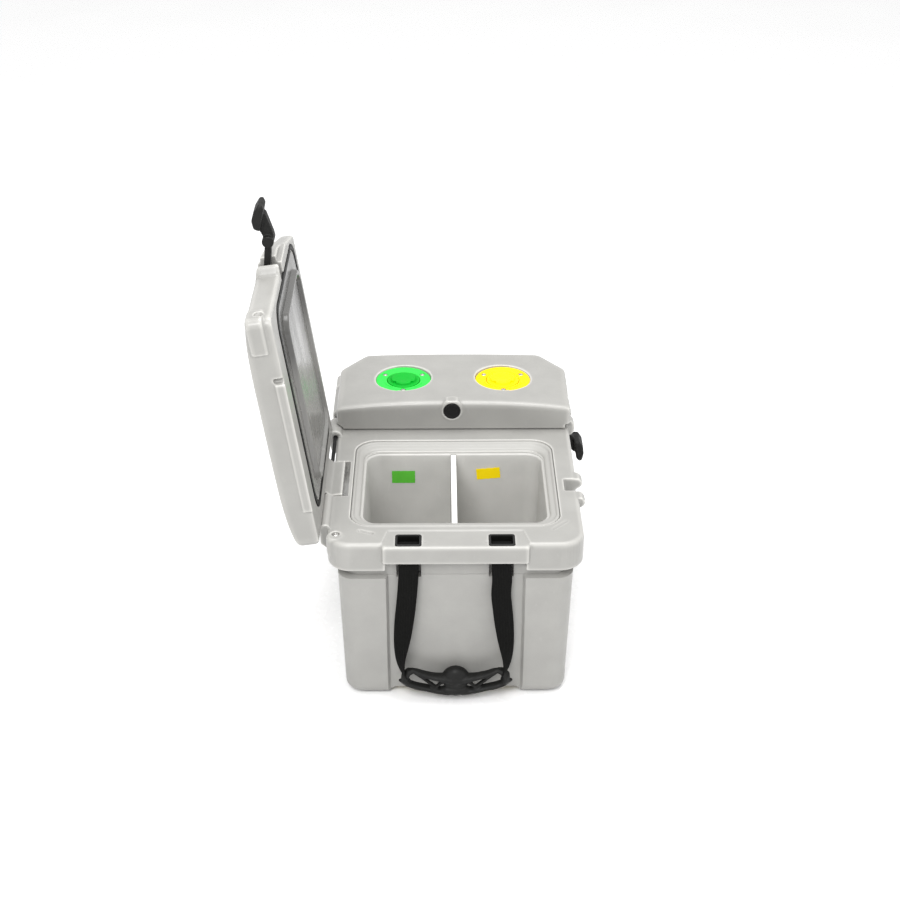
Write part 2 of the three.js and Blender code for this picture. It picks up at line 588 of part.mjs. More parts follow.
const gripOutline = () => {
  const shape = new THREE.Shape();
  shape.moveTo(-34, GRIP.low + 1);
  shape.lineTo(34, GRIP.low + 1);
  shape.lineTo(GRIP.halfX - 14, GRIP.low + 4);
  shape.lineTo(GRIP.halfX - 2, GRIP.low + 12);
  shape.lineTo(GRIP.halfX + 4, GRIP.high - 20);
  shape.lineTo(GRIP.halfX + 6, GRIP.high);
  shape.lineTo(GRIP.halfX - 12, GRIP.high);
  shape.lineTo(GRIP.halfX - 34, GRIP.high - 15);
  shape.lineTo(24, GRIP.high - 12);
  shape.absarc(0, GRIP.high - 20, 23, 0.4, Math.PI - 0.4);
  shape.lineTo(-24, GRIP.high - 12);
  shape.lineTo(-GRIP.halfX + 34, GRIP.high - 15);
  shape.lineTo(-GRIP.halfX + 12, GRIP.high);
  shape.lineTo(-GRIP.halfX - 6, GRIP.high);
  shape.lineTo(-GRIP.halfX - 4, GRIP.high - 20);
  shape.lineTo(-GRIP.halfX + 2, GRIP.low + 12);
  shape.lineTo(-GRIP.halfX + 14, GRIP.low + 4);
  for (const side of [-1, 1]) {
    shape.holes.push(new THREE.Path([
      [side * 34, 26], [side * 60, 34], [side * 34, 40],
    ].map(([x, z]) => new THREE.Vector2(x, z))));
    shape.holes.push(new THREE.Path([
      [side * 44, 19], [side * 78, 20], [side * 72, 33],
    ].map(([x, z]) => new THREE.Vector2(x, z))));
  }
  return shape;
};

const slotInsert = (x) => {
  const y = -STRAP.slotY;
  const frame = union(
    prism(roundedRect(STRAP.slotHalfX + 1, STRAP.slotHalfY + 1, 4, x, y),
      RIM.top - PANEL.drop + GAP, RIM.top, 2),
    prism(roundedRect(STRAP.slotHalfX - GAP, STRAP.slotHalfY - GAP, 3, x, y),
      PANEL.bottom - 4, RIM.top - 1, 2),
  );
  const window = prism(roundedRect(STRAP.slotHalfX - 3, STRAP.slotHalfY - 4, 2, x, y), 200, RIM.top + 5, 2);
  const barHalf = STRAP.slotHalfX - 1;
  const bar = box(x - barHalf, x + barHalf, y - 3, y + 3, RIM.top - 16, RIM.top - 8);
  return union(cut(frame, window), bar);
};

// The webbing that loops over the insert's bar and leaves under the rim.
const strapAnchor = (x) => {
  const half = STRAP.half;
  const y = -STRAP.slotY;
  const run = outline([
    [y - 9.5, 260], [y - 6.2, 260], [y - 4, RIM.top - 18], [y - 4, RIM.top - 7.4], [y + 4, RIM.top - 7.4],
    [y + 4, 276], [y + 7.4, 276], [y + 7.4, RIM.top - 3.8],
    [y - 7.4, RIM.top - 3.8], [y - 7.4, RIM.top - 18],
  ]);
  return alongX(run, x - half, x + half);
};

const addHandle = (parent, name, turn) => {
  const handle = new THREE.Group();
  handle.rotation.z = turn;
  const y0 = -STRAP.y - STRAP.thick / 2;
  const strap = alongY(strapOutline(), y0, y0 + STRAP.thick);
  const grip = alongY(gripOutline(), -GRIP.y - GRIP.thick / 2 - 6, -GRIP.y + GRIP.thick / 2 - 6);
  for (const [side, x, piece] of [['left', -STRAP.x, mirrorX(strap)], ['right', STRAP.x, strap]]) {
    addPiece(handle, `${name}_${side}_slot_insert`, slotInsert(x), FINISH.black());
    addPiece(handle, `${name}_${side}_strap_anchor`, strapAnchor(x), FINISH.webbing());
    addPiece(handle, `${name}_${side}_strap`, piece, FINISH.webbing());
  }
  addPiece(handle, `${name}_grip`, grip, FINISH.rubber());
  parent.add(handle);
};

// ---------------------------------------------------------------- assembly
const group = new THREE.Group();

const baseShell = buildBaseShell();
const rimZones = Object.entries(RIM_ZONES);
const baseCore = cut(baseShell, ...rimZones.map(([, spans]) => rimZone(spans, 0)));
addPiece(group, 'base_shell', baseCore, FINISH.shell());
for (const [name, spans] of rimZones) {
  addPiece(group, name, baseShell.intersect(rimZone(spans, GAP)), FINISH.shell());
}
addPiece(group, 'base_foam', buildBaseFoam(), FINISH.foam());
addPiece(group, 'front_tub', cut(buildTub(FRONT_WELL), dividerSlab(0.5)), FINISH.tank());
addPiece(group, 'rear_tub', buildTub(REAR_WELL), FINISH.tank());
addPiece(group, 'tank_divider', dividerSlab(0), FINISH.white());
buildLabel(group, 'green_label', -88.5, 249.5, 20.5, 12.5, 0, FINISH.greenLabel());
buildLabel(group, 'yellow_label', 60.2, 256, 21, 11, THREE.MathUtils.degToRad(-5), FINISH.yellowLabel());

for (const [x, y] of footPlaces()) {
  const name = `${y < 0 ? 'front' : 'rear'}_${x < 0 ? 'left' : 'right'}_foot`;
  addPiece(group, name, post(FOOT.radius, x, y, 0, FOOT.deep - GAP, 20), FINISH.rubber());
}

addHandle(group, 'front', 0);
addHandle(group, 'rear', Math.PI);

const pinPieces = Object.entries(PINS);
for (const [name, [y0, y1]] of pinPieces) {
  addPiece(group, name, rod(HINGE.pin, HINGE.x, HINGE.z, y0, y1), FINISH.black());
}
for (const [name, y] of [['front_hinge_screw', -SCREW.baseY], ['rear_hinge_screw', SCREW.baseY]]) {
  addPiece(group, name, screw(SCREW.baseX, y, RIM.top - 1, SCREW.head, SCREW.shank, 14), FINISH.steel());
}

addPiece(group, 'drain_seal', cut(
  rod(DRAIN.radius - 0.5, DRAIN.x, DRAIN.z, drainSeatY + GAP, drainSeatY + 2.4, 24),
  rod(DRAIN.radius - 4, DRAIN.x, DRAIN.z, drainSeatY - 5, drainSeatY + 5, 24)), FINISH.rubber());
addPiece(group, 'drain_plug', union(
  rod(DRAIN.radius, DRAIN.x, DRAIN.z, drainSeatY + 2.8, drainSeatY + 10, 24),
  rod(DRAIN.radius - 5, DRAIN.x, DRAIN.z, drainSeatY - 5, drainSeatY + 4, 20)), FINISH.black());

const frontLid = new THREE.Group();
frontLid.position.set(HINGE.x, 0, HINGE.z);
frontLid.rotation.y = -OPEN_ANGLE;
const frontLidParts = new THREE.Group();
frontLidParts.position.set(-HINGE.x, 0, -HINGE.z);
frontLid.add(frontLidParts);
group.add(frontLid);
addPiece(frontLidParts, 'front_lid_shell', buildFrontLidShell(), FINISH.shell());
addPiece(frontLidParts, 'front_lid_foam', lidFoam(FRONT_WELL), FINISH.foam());
addPiece(frontLidParts, 'front_lid_panel', lidPanel(FRONT_WELL), FINISH.tank());
addPiece(frontLidParts, 'front_lid_gasket', lidGasket(FRONT_WELL), FINISH.rubber());
addPiece(frontLidParts, 'front_lid_screw',
  ontoFlank(screw(0, 0, -1, SCREW.head, SCREW.shank, 14)), FINISH.steel());
addLatch(frontLidParts, 'front', LATCH_Y.front, LATCH.idle);

const wellClear = hatchHoles(HATCH.bore + 5.4, LID.bottom - 20, LID.bottom + LID.thick);
addPiece(group, 'rear_lid_shell', buildRearLidShell(), FINISH.shell());
addPiece(group, 'rear_lid_foam', cut(lidFoam(REAR_WELL), wellClear), FINISH.foam());
const rearPanel = cut(lidPanel(REAR_WELL), hatchHoles(HATCH.bore, 290, 320));
addPiece(group, 'rear_lid_panel', rearPanel, FINISH.tank());
addPiece(group, 'rear_lid_gasket', lidGasket(REAR_WELL), FINISH.rubber());
addPiece(group, 'rear_lid_plug', union(
  rod(LID_PLUG.radius, LID_PLUG.x, LID_PLUG.z, SPLIT.y - 0.8, SPLIT.y + 3.6, 24),
  rod(LID_PLUG.radius - 3.5, LID_PLUG.x, LID_PLUG.z, SPLIT.y + 3, SPLIT.y + 14, 20)), FINISH.rubber());
addLatch(group, 'rear', LATCH_Y.rear, LATCH.closed);

const hatches = [['green', -HATCH.x, FINISH.green], ['yellow', HATCH.x, FINISH.yellow]];
for (const [colour, x, material] of hatches) {
  addPiece(group, `${colour}_hatch_flange`, hatchFlange(x), material());
  addPiece(group, `${colour}_hatch_seal`, hatchSeal(x), FINISH.rubber());
  addPiece(group, `${colour}_hatch_cap`, hatchCap(x), material());
}
hatchScrewPlaces().forEach(([x, y], index) => {
  const colour = x < 0 ? 'green' : 'yellow';
  const top = HATCH.top + 2.2;
  addPiece(group, `${colour}_hatch_screw_${(index % 3) + 1}`, screw(x, y, top, 4.2, 1.7, 7), FINISH.steel());
});

export default group;
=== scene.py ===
"""Looks of the two-lid wash station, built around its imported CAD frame.

Shapes are drawn in millimetres in the row frame, and turned into metres when a mesh is made.
The lids and latches are drawn shut, as the mould makes them, and then placed where the frame holds them.
"""
import json
import math

import bmesh
import bpy
from mathutils import Matrix, Vector


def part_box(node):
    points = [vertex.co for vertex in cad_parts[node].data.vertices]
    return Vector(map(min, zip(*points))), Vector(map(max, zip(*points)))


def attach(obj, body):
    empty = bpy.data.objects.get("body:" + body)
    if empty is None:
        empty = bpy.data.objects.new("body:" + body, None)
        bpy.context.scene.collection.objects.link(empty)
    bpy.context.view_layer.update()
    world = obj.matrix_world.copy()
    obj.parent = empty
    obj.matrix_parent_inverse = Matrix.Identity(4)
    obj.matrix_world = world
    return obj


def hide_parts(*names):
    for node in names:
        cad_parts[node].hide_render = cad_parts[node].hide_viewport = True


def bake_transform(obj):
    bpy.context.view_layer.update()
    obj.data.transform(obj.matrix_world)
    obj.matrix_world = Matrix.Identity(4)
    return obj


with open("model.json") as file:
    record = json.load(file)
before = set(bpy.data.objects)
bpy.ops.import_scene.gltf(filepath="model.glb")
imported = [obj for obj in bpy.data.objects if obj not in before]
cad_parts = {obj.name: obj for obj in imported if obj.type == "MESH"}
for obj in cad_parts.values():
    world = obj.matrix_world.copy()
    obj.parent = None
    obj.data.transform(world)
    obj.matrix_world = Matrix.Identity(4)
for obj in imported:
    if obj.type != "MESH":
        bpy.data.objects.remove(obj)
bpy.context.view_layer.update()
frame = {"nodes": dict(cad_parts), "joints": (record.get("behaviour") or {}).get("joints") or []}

MM = 0.001
TAU = 2 * math.pi

# ---------------------------------------------------------------- driving dimensions, in millimetres
RIM = {"x": 205, "y": 289, "top": 306, "bottom": 255, "radius": 38, "edge": 6}
BODY = {"x": 190, "y": 284, "radius": 26, "taper_x": 0.963, "taper_y": 0.985, "foot": 18, "neck": 241,
        "waist": 9}
PANEL = {"x": 112, "back": 247, "front": 296, "bottom": 273}
RECESS = {"x": 110, "depth": 8, "gap": 11.5, "gap_depth": 40}
SIDE_RECESS = {"y": 196, "depth": 6, "low": 22, "high": 232}
WELLS = {
    "front_tub": {"y": -96, "x": 150, "half_y": 110, "lip_x": 20, "lip_y": 28},
    "rear_tub": {"y": 170, "x": 150, "half_y": 55, "lip_x": 20, "lip_y": 20},
}
TUB = {"wall": 4, "floor": 44, "radius": 26, "taper": 0.95, "top": 303}
LID = {"x": 207, "bottom": 307, "top": 354, "edge": 7, "front": -293, "split": 77.5, "gap": 1.5, "back": 284}
CROWN = {"split": 361.5, "front": 354.2, "rear": 357.0, "split_drop": 12, "front_drop": 13, "rear_drop": 4.5}
FLANK = {"near_x": 192, "step": (-136, -128), "taper": -60, "far_x": 172, "block": (136, 194, -297.5)}
CHAMFER = {"x": 45, "y": 54}
HINGE = {"x": -209, "z": 303, "barrel": 9, "middle": 13}
LUG = {"tip": 23, "front": (-140, -31), "rear": (128, 226)}
LATCH_Y = {"front": -108, "rear": 136}
LATCH_TURN = {"front": -13, "rear": -73}
KNUCKLE = 60
EAR = {"inner": 18.5, "outer": 42, "from": 200, "to": 216, "low": 280, "top": 305, "tall": 315.5}
HATCH = {"x": 90, "y": 181, "top": 352.2, "radius": 49.5, "cap": 29.3, "screws": 39, "knob": 22.6,
         "rise": 6.6}
PLUG = {"x": -3, "z": 344.5, "radius": 14.5, "crest": 363}
STRAP = {"shift": 2, "x": 75, "thick": 2.6, "slot_x": 20, "slot_y": 15.5, "y": 274.5}


# ---------------------------------------------------------------- mesh tools
def box_mm(node):
    """A CAD node's lowest and highest corners, in millimetres."""
    low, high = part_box(node)
    return low / MM, high / MM


def rounded(points, radius, steps=6):
    """A closed flat outline with its corners rounded. The radius is one number, or one for each corner."""
    radii = radius if isinstance(radius, (list, tuple)) else [radius] * len(points)
    path = []
    for i, corner in enumerate(points):
        corner = Vector(corner)
        before = (Vector(points[i - 1]) - corner).normalized()
        after = (Vector(points[(i + 1) % len(points)]) - corner).normalized()
        half = before.angle(after) / 2
        reach = radii[i] / math.tan(half)
        centre = corner + (before + after).normalized() * (radii[i] / math.sin(half))
        start = corner + before * reach - centre
        end = corner + after * reach - centre
        for k in range(steps + 1):
            path.append(centre + start.lerp(end, k / steps).normalized() * radii[i])
    return path


def rectangle(half_x, half_y, radius, x=0, y=0, steps=8):
    corners = [(x + half_x, y - half_y), (x + half_x, y + half_y), (x - half_x, y + half_y),
               (x - half_x, y - half_y)]
    return rounded(corners, radius, steps)


def new_object(name, bm):
    bmesh.ops.recalc_face_normals(bm, faces=bm.faces)
    bmesh.ops.scale(bm, vec=(MM, MM, MM), verts=bm.verts)
    mesh = bpy.data.meshes.new(name)
    bm.to_mesh(mesh)
    bm.free()
    obj = bpy.data.objects.new(name, mesh)
    bpy.context.scene.collection.objects.link(obj)
    return obj


def loft(rings, name="solid"):
    """A closed solid through a stack of rings that have as many points each."""
    bm = bmesh.new()
    rows = [[bm.verts.new(p) for p in ring] for ring in rings]
    count = len(rows[0])
    for low, high in zip(rows, rows[1:]):
        for i in range(count):
            bm.faces.new((low[i], low[(i + 1) % count], high[(i + 1) % count], high[i]))
    bm.faces.new(rows[0][::-1])
    bm.faces.new(rows[-1])
    return new_object(name, bm)


def at_z(outline, z):
    return [(p[0], p[1], z) for p in outline]


def prism(outline, z0, z1):
    return loft([at_z(outline, z0), at_z(outline, z1)])


def along_y(outline, y0, y1):
    """An outline drawn in X and Z, extruded along Y."""
    return loft([[(p[0], y, p[1]) for p in outline] for y in (y0, y1)])


def block(x0, x1, y0, y1, z0, z1):
    return prism([(x0, y0), (x1, y0), (x1, y1), (x0, y1)], z0, z1)


def pillow(outline_of, z0, z1, edge, low_edge=0, steps=5):
    """A slab whose top and bottom edges are rounded. outline_of gives the outline for an inset."""
    rings = []
    if low_edge:
        for k in range(steps + 1):
            turn = math.pi / 2 * k / steps
            rings.append(at_z(outline_of(low_edge * (1 - math.sin(turn))),
                              z0 + low_edge * (1 - math.cos(turn))))
    else:
        rings.append(at_z(outline_of(0), z0))
    for k in range(steps + 1):
        turn = math.pi / 2 * k / steps
        rings.append(at_z(outline_of(edge * (1 - math.cos(turn))), z1 - edge * (1 - math.sin(turn))))
    return loft(rings)


def turned(profile, centre, sides=64, name="turned"):
    """A solid of revolution about Z. The profile runs from axis to axis as (radius, z) pairs."""
    bm = bmesh.new()
    rings = []
    for radius, z in profile:
        if radius == 0:
            rings.append([bm.verts.new((centre[0], centre[1], z))])
            continue
        rings.append([bm.verts.new((centre[0] + radius * math.cos(TAU * i / sides),
                                    centre[1] + radius * math.sin(TAU * i / sides), z))
                                    for i in range(sides)])
    for low, high in zip(rings, rings[1:]):
        for i in range(sides):
            j = (i + 1) % sides
            corners = [low[i % len(low)], low[j % len(low)], high[j % len(high)], high[i % len(high)]]
            bm.faces.new(list(dict.fromkeys(corners)))
    return new_object(name, bm)


def rod(radius, start, end, sides=40):
    """A cylinder between two points."""
    start, end = Vector(start), Vector(end)
    along = (end - start).normalized()
    side = along.orthogonal().normalized()
    other = along.cross(side)
    ring = [side * radius * math.cos(TAU * i / sides) + other * radius * math.sin(TAU * i / sides)
            for i in range(sides)]
    return loft([[tuple(end_point + p) for p in ring] for end_point in (start, end)])


def limb(points, radii, depth=1.0, sides=16):
    """A rounded bar through points in X and Z at one Y: radii give its thickness, depth its share along Y."""
    rings = []
    points = [Vector(p) for p in points]
    for i, point in enumerate(points):
        along = (points[min(i + 1, len(points) - 1)] - points[max(i - 1, 0)]).normalized()
        across = Vector((-along.z, 0, along.x))
        rings.append([tuple(point + across * radii[i] * math.cos(TAU * k / sides)
                            + Vector((0, 1, 0)) * radii[i] * depth * math.sin(TAU * k / sides))
                      for k in range(sides)])
    return loft(rings)


def bake(obj):
    """Applies every modifier."""
    graph = bpy.context.evaluated_depsgraph_get()
    mesh = bpy.data.meshes.new_from_object(obj.evaluated_get(graph))
    obj.modifiers.clear()
    obj.data = mesh
    return obj


def boolean(obj, tools, operation):
    for tool in tools:
        modifier = obj.modifiers.new(operation, "BOOLEAN")
        modifier.operation = operation
        modifier.solver = "MANIFOLD"
        modifier.object = tool
    bake(obj)
    for tool in tools:
        bpy.data.objects.remove(tool)
    return obj


def join(first, *others):
    return boolean(first, others, "UNION")


def cut(obj, *tools):
    return boolean(obj, tools, "DIFFERENCE")


def soften(obj, voxel, passes, factor=0.5):
    """Turns a solid into an even fine mesh and rounds all its edges."""
    remesh = obj.modifiers.new("even", "REMESH")
    remesh.mode = "VOXEL"
    remesh.voxel_size = voxel * MM
    remesh.use_smooth_shade = True
    smooth = obj.modifiers.new("smooth", "SMOOTH")
    smooth.factor = factor
    smooth.iterations = passes
    return bake(obj)


def crease(obj, degrees=40):
    """Smooth shading that keeps flat faces flat and hard edges hard."""
    obj.data.shade_smooth()
    obj.data.set_sharp_from_angle(angle=math.radians(degrees))
    normals = obj.modifiers.new("normals", "WEIGHTED_NORMAL")
    normals.keep_sharp = True
    return obj


def chamfered(obj, width, segments=3, degrees=40):
    """Rounds the hard edges of a clean mesh."""
    bevel = obj.modifiers.new("bevel", "BEVEL")
    bevel.width = width * MM
    bevel.segments = segments
    bevel.limit_method = "ANGLE"
    bevel.angle_limit = math.radians(degrees)
    return crease(bake(obj), degrees)


def moved(obj, matrix):
    obj.data.transform(matrix)
    obj.data.update()
    return obj


def mirrored(obj, axis):
    """Reflects a mesh across the plane through the origin that is square to the axis."""
    scale = Matrix.Scale(-1, 4, Vector([1 if axis == a else 0 for a in "xyz"]))
    obj.data.transform(scale)
    obj.data.flip_normals()
    return obj


# ---------------------------------------------------------------- materials
def new_material(name):
    material = bpy.data.materials.new(name)
    material.use_nodes = True
    nodes = material.node_tree.nodes
    nodes.clear()
    output = nodes.new("ShaderNodeOutputMaterial")
    shader = nodes.new("ShaderNodeBsdfPrincipled")
    material.node_tree.links.new(shader.outputs[0], output.inputs[0])
    return material, shader


class Painter:
    """Adds texture nodes that read the piece's own coordinates."""

    def __init__(self, name):
        self.material, self.shader = new_material(name)
        self.tree = self.material.node_tree
        self.place = self.tree.nodes.new("ShaderNodeTexCoord").outputs["Object"]
        self.height = None

    def link(self, source, target):
        self.tree.links.new(source, target)

    def elevation(self):
        """How high a point is, in metres."""
        split = self.tree.nodes.new("ShaderNodeSeparateXYZ")
        self.link(self.place, split.inputs[0])
        return split.outputs["Z"]

    def noise(self, scale, detail=2.0, stretch=(1, 1, 1), rough=0.5):
        mapping = self.tree.nodes.new("ShaderNodeMapping")
        mapping.inputs["Scale"].default_value = stretch
        self.link(self.place, mapping.inputs["Vector"])
        node = self.tree.nodes.new("ShaderNodeTexNoise")
        node.inputs["Scale"].default_value = scale
        node.inputs["Detail"].default_value = detail
        node.inputs["Roughness"].default_value = rough
        self.link(mapping.outputs[0], node.inputs["Vector"])
        return node.outputs["Fac"]

    def cells(self, scale, stretch=(1, 1, 1)):
        mapping = self.tree.nodes.new("ShaderNodeMapping")
        mapping.inputs["Scale"].default_value = stretch
        self.link(self.place, mapping.inputs["Vector"])
        node = self.tree.nodes.new("ShaderNodeTexVoronoi")
        node.inputs["Scale"].default_value = scale
        self.link(mapping.outputs[0], node.inputs["Vector"])
        return node.outputs["Distance"]

    def bands(self, scale, direction, distortion=0.0):
        node = self.tree.nodes.new("ShaderNodeTexWave")
        node.bands_direction = direction
        node.inputs["Scale"].default_value = scale
        node.inputs["Distortion"].default_value = distortion
        self.link(self.place, node.inputs["Vector"])
        return node.outputs["Fac"]

    def ramp(self, source, low, high, low_value=0.0, high_value=1.0):
        node = self.tree.nodes.new("ShaderNodeMapRange")
        node.inputs["From Min"].default_value = low
        node.inputs["From Max"].default_value = high
        node.inputs["To Min"].default_value = low_value
        node.inputs["To Max"].default_value = high_value
        self.link(source, node.inputs["Value"])
        return node.outputs["Result"]

    def math(self, operation, first, second):
        node = self.tree.nodes.new("ShaderNodeMath")
        node.operation = operation
        for socket, value in zip(node.inputs, (first, second)):
            if isinstance(value, (int, float)):
                socket.default_value = value
            else:
                self.link(value, socket)
        return node.outputs[0]

    def edges(self, low=0.5, high=0.56):
        """1 along raised edges of a fine mesh, and 0 on its flats."""
        node = self.tree.nodes.new("ShaderNodeNewGeometry")
        return self.ramp(node.outputs["Pointiness"], low, high)

    def mix(self, amount, first, second):
        node = self.tree.nodes.new("ShaderNodeMix")
        node.data_type = "RGBA"
        self.link(amount, node.inputs["Factor"])
        for socket, value in ((node.inputs[6], first), (node.inputs[7], second)):
            if isinstance(value, tuple):
                socket.default_value = (*value, 1)
            else:
                self.link(value, socket)
        return node.outputs[2]

    def bump(self, height, distance, strength=1.0):
        node = self.tree.nodes.new("ShaderNodeBump")
        node.inputs["Distance"].default_value = distance
        node.inputs["Strength"].default_value = strength
        self.link(height, node.inputs["Height"])
        if self.height is not None:
            self.link(self.height, node.inputs["Normal"])
        self.height = node.outputs[0]
        self.link(self.height, self.shader.inputs["Normal"])

    def colour(self, value):
        self.link(value, self.shader.inputs["Base Color"])

    def roughness(self, value):
        self.link(value, self.shader.inputs["Roughness"])


def shade(colour, factor):
    return tuple(min(1.0, c * factor) for c in colour)


def moulded(name, colour, rough=0.5, grain=0.00012, contrast=0.05, edge=0.0, shine=0.5, lip=None):
    """Moulded plastic: mottled colour, fine grain, orange peel, faint scuffs, and a painted highlight along
    raised edges.

    lip is the colour of the uppermost part, where a tub's flange lies in the rim. Below it the tub keeps a
    lighter colour, which is painted light brightening the walls down in the wells.
    """
    paint = Painter(name)
    mottle = paint.ramp(paint.noise(22, 4), 0.3, 0.7)
    base = paint.mix(mottle, shade(colour, 1 - contrast), shade(colour, 1 + contrast))
    speck = paint.ramp(paint.noise(900, 2), 0.62, 0.72, 0.0, 0.35)
    base = paint.mix(speck, base, shade(colour, 1 - 2.4 * contrast))
    scuffs = paint.ramp(paint.noise(90, 3, (1, 0.12, 0.5)), 0.64, 0.72, 0.0, 0.4)
    base = paint.mix(scuffs, base, shade(colour, 1 + 2 * contrast))
    if edge:
        # Painted highlight: edge sets how strongly raised edges are painted lighter, standing in for light
        # catching them.
        painted_edge_highlight = paint.math("MULTIPLY", paint.edges(), edge)
        base = paint.mix(painted_edge_highlight, base, shade(colour, 2.0))
    # Painted light: the flange takes the rim's colour, and the walls below keep a lighter colour that stands
    # in for light reaching down into the wells.
    if lip:
        base = paint.mix(paint.ramp(paint.elevation(), 0.291, 0.297), base, lip)
    paint.colour(base)
    paint.roughness(paint.ramp(paint.noise(60, 5), 0.25, 0.75, rough - 0.07, rough + 0.07))
    paint.bump(paint.noise(55, 2), 0.0006, 0.35)
    paint.bump(paint.noise(1400, 3), grain, 0.7)
    paint.shader.inputs["Specular IOR Level"].default_value = shine
    return paint.material


def rubber(name, colour, rough=0.6):
    paint = Painter(name)
    dust = paint.ramp(paint.noise(35, 5), 0.45, 0.8, 0.0, 0.5)
    paint.colour(paint.mix(dust, colour, shade(colour, 2.0)))
    paint.roughness(paint.ramp(paint.noise(120, 3), 0.3, 0.7, rough - 0.12, rough + 0.1))
    paint.bump(paint.cells(900), 0.00012, 0.5)
    paint.bump(paint.noise(130, 3), 0.0004, 0.3)
    paint.shader.inputs["Specular IOR Level"].default_value = 0.25
    return paint.material


def webbing(name, colour):
    """Woven polyester tape: ribs across the tape and threads along it."""
    paint = Painter(name)
    ribs = paint.bands(170, "Z", 0.4)
    threads = paint.bands(120, "X", 0.4)
    weave = paint.math("MULTIPLY", ribs, threads)
    fuzz = paint.ramp(paint.noise(1200, 3), 0.4, 0.75, 0.0, 0.6)
    lit = paint.mix(paint.ramp(weave, 0.1, 0.9), colour, shade(colour, 3.2))
    paint.colour(paint.mix(fuzz, lit, shade(colour, 2.2)))
    paint.roughness(paint.ramp(paint.noise(500, 2), 0.3, 0.7, 0.75, 0.95))
    paint.bump(weave, 0.0006, 0.8)
    paint.bump(paint.noise(2200, 2), 0.00015, 0.6)
    paint.shader.inputs["Specular IOR Level"].default_value = 0.1
    return paint.material


def metal(name, colour, rough=0.28):
    paint = Painter(name)
    brushed = paint.noise(700, 3, (1, 0.06, 1))
    paint.colour(paint.mix(paint.ramp(brushed, 0.3, 0.7), shade(colour, 0.8), shade(colour, 1.1)))
    paint.roughness(paint.ramp(brushed, 0.3, 0.7, rough - 0.08, rough + 0.12))
    paint.bump(brushed, 0.00005, 0.5)
    paint.shader.inputs["Metallic"].default_value = 1.0
    return paint.material


def foam(name, colour):
    paint = Painter(name)
    cells = paint.cells(420)
    paint.colour(paint.mix(paint.ramp(cells, 0.1, 0.8), shade(colour, 1.05), shade(colour, 0.75)))
    paint.roughness(paint.ramp(paint.noise(90, 2), 0.3, 0.7, 0.85, 0.98))
    paint.bump(cells, 0.0008, 0.8)
    return paint.material


def liner_gloss(name, colour):
    """Thin glossy sheet with pulled streaks and a slight sag; its upper part is painted darker as a painted
    dark reflection.
    """
    paint = Painter(name)
    streaks = paint.noise(26, 4, (1, 1, 0.22), 0.6)
    cloud = paint.noise(9, 3)
    base = paint.mix(paint.ramp(streaks, 0.42, 0.66), shade(colour, 0.9), shade(colour, 1.14))
    base = paint.mix(paint.ramp(cloud, 0.35, 0.65, 0.0, 0.5), base, shade(colour, 0.84))
    # Painted reflection: above this height the sheet is painted much darker, standing in for dark
    # surroundings mirrored in it; the streaks rag its edge.
    painted_reflection_height = paint.math("ADD", paint.elevation(), paint.math("MULTIPLY", streaks, 0.09))
    paint.colour(paint.mix(paint.ramp(painted_reflection_height, 0.585, 0.635), base, shade(colour, 0.42)))
    paint.roughness(paint.ramp(streaks, 0.3, 0.7, 0.16, 0.34))
    paint.bump(cloud, 0.006, 0.5)
    paint.bump(streaks, 0.0012, 0.5)
    return paint.material


SHELL_COLOUR = (0.272, 0.268, 0.254)
LOOKS = {
    # edge=1.0 turns on the painted highlight along the shell's raised edges.
    "shell": moulded("shell", SHELL_COLOUR, rough=0.36, edge=1.0),
    "body": moulded("body_shell", SHELL_COLOUR, rough=0.40),
    # Painted light: the tank colour is lighter than the shell so that the walls in the wells read brighter;
    # the lip gives the flange the rim's colour.
    "tank": moulded("tank", (0.455, 0.449, 0.428), rough=0.42, lip=shade(SHELL_COLOUR, 1.15)),
    "lid_panel": liner_gloss("lid_panel", (0.19, 0.187, 0.178)),
    "divider": moulded("divider", (0.90, 0.90, 0.88), rough=0.4, contrast=0.02),
    "green_label": moulded("green_label", (0.085, 0.41, 0.035), rough=0.6, contrast=0.06, shine=0.2),
    "yellow_label": moulded("yellow_label", (0.76, 0.57, 0.0), rough=0.6, contrast=0.05, shine=0.2),
    "webbing": webbing("webbing", (0.0022, 0.0022, 0.002)),
    "black_plastic": moulded("black_plastic", (0.004, 0.004, 0.0035), rough=0.45, contrast=0.3, shine=0.25),
    "rubber": rubber("rubber", (0.005, 0.005, 0.0045)),
    "seal_rubber": rubber("seal_rubber", (0.004, 0.004, 0.004), 0.6),
    "hinge_pin": moulded("hinge_pin", (0.005, 0.005, 0.005), rough=0.4, contrast=0.3, shine=0.3),
    "steel": metal("steel", (0.62, 0.61, 0.59)),
    "green_plastic": moulded("green_plastic", (0.03, 0.56, 0.065), rough=0.55, contrast=0.04, shine=0.15),
    "green_cap": moulded("green_cap", (0.0, 0.34, 0.02), rough=0.55, contrast=0.05, shine=0.15),
    "yellow_plastic": moulded("yellow_plastic", (0.85, 0.60, 0.0), rough=0.55, contrast=0.03, shine=0.15),
    "foam": foam("foam", (0.80, 0.72, 0.48)),
}


def dress(obj, look):
    obj.data.materials.clear()
    obj.data.materials.append(LOOKS[look])


def piece(obj, name, look, body, slot, *replaced):
    """Names a finished piece, gives it its finish and its body, and hides the CAD nodes it stands for."""
    obj.name = name
    obj.data.name = name
    dress(obj, look)
    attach(obj, body)
    if replaced:
        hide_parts(*replaced)
    return obj


# ---------------------------------------------------------------- wells
def well_outline(well, grow, radius=None, taper=1.0):
    """A tub's rounded rectangle, grown by a share of its lip."""
    half_x = well["x"] * taper + grow * well["lip_x"] / 20
    half_y = well["half_y"] * taper + grow * well["lip_y"] / 20
    radius = TUB["radius"] + 0.5 * grow if radius is None else radius
    return rectangle(half_x, half_y, radius, 0, well["y"], 10)


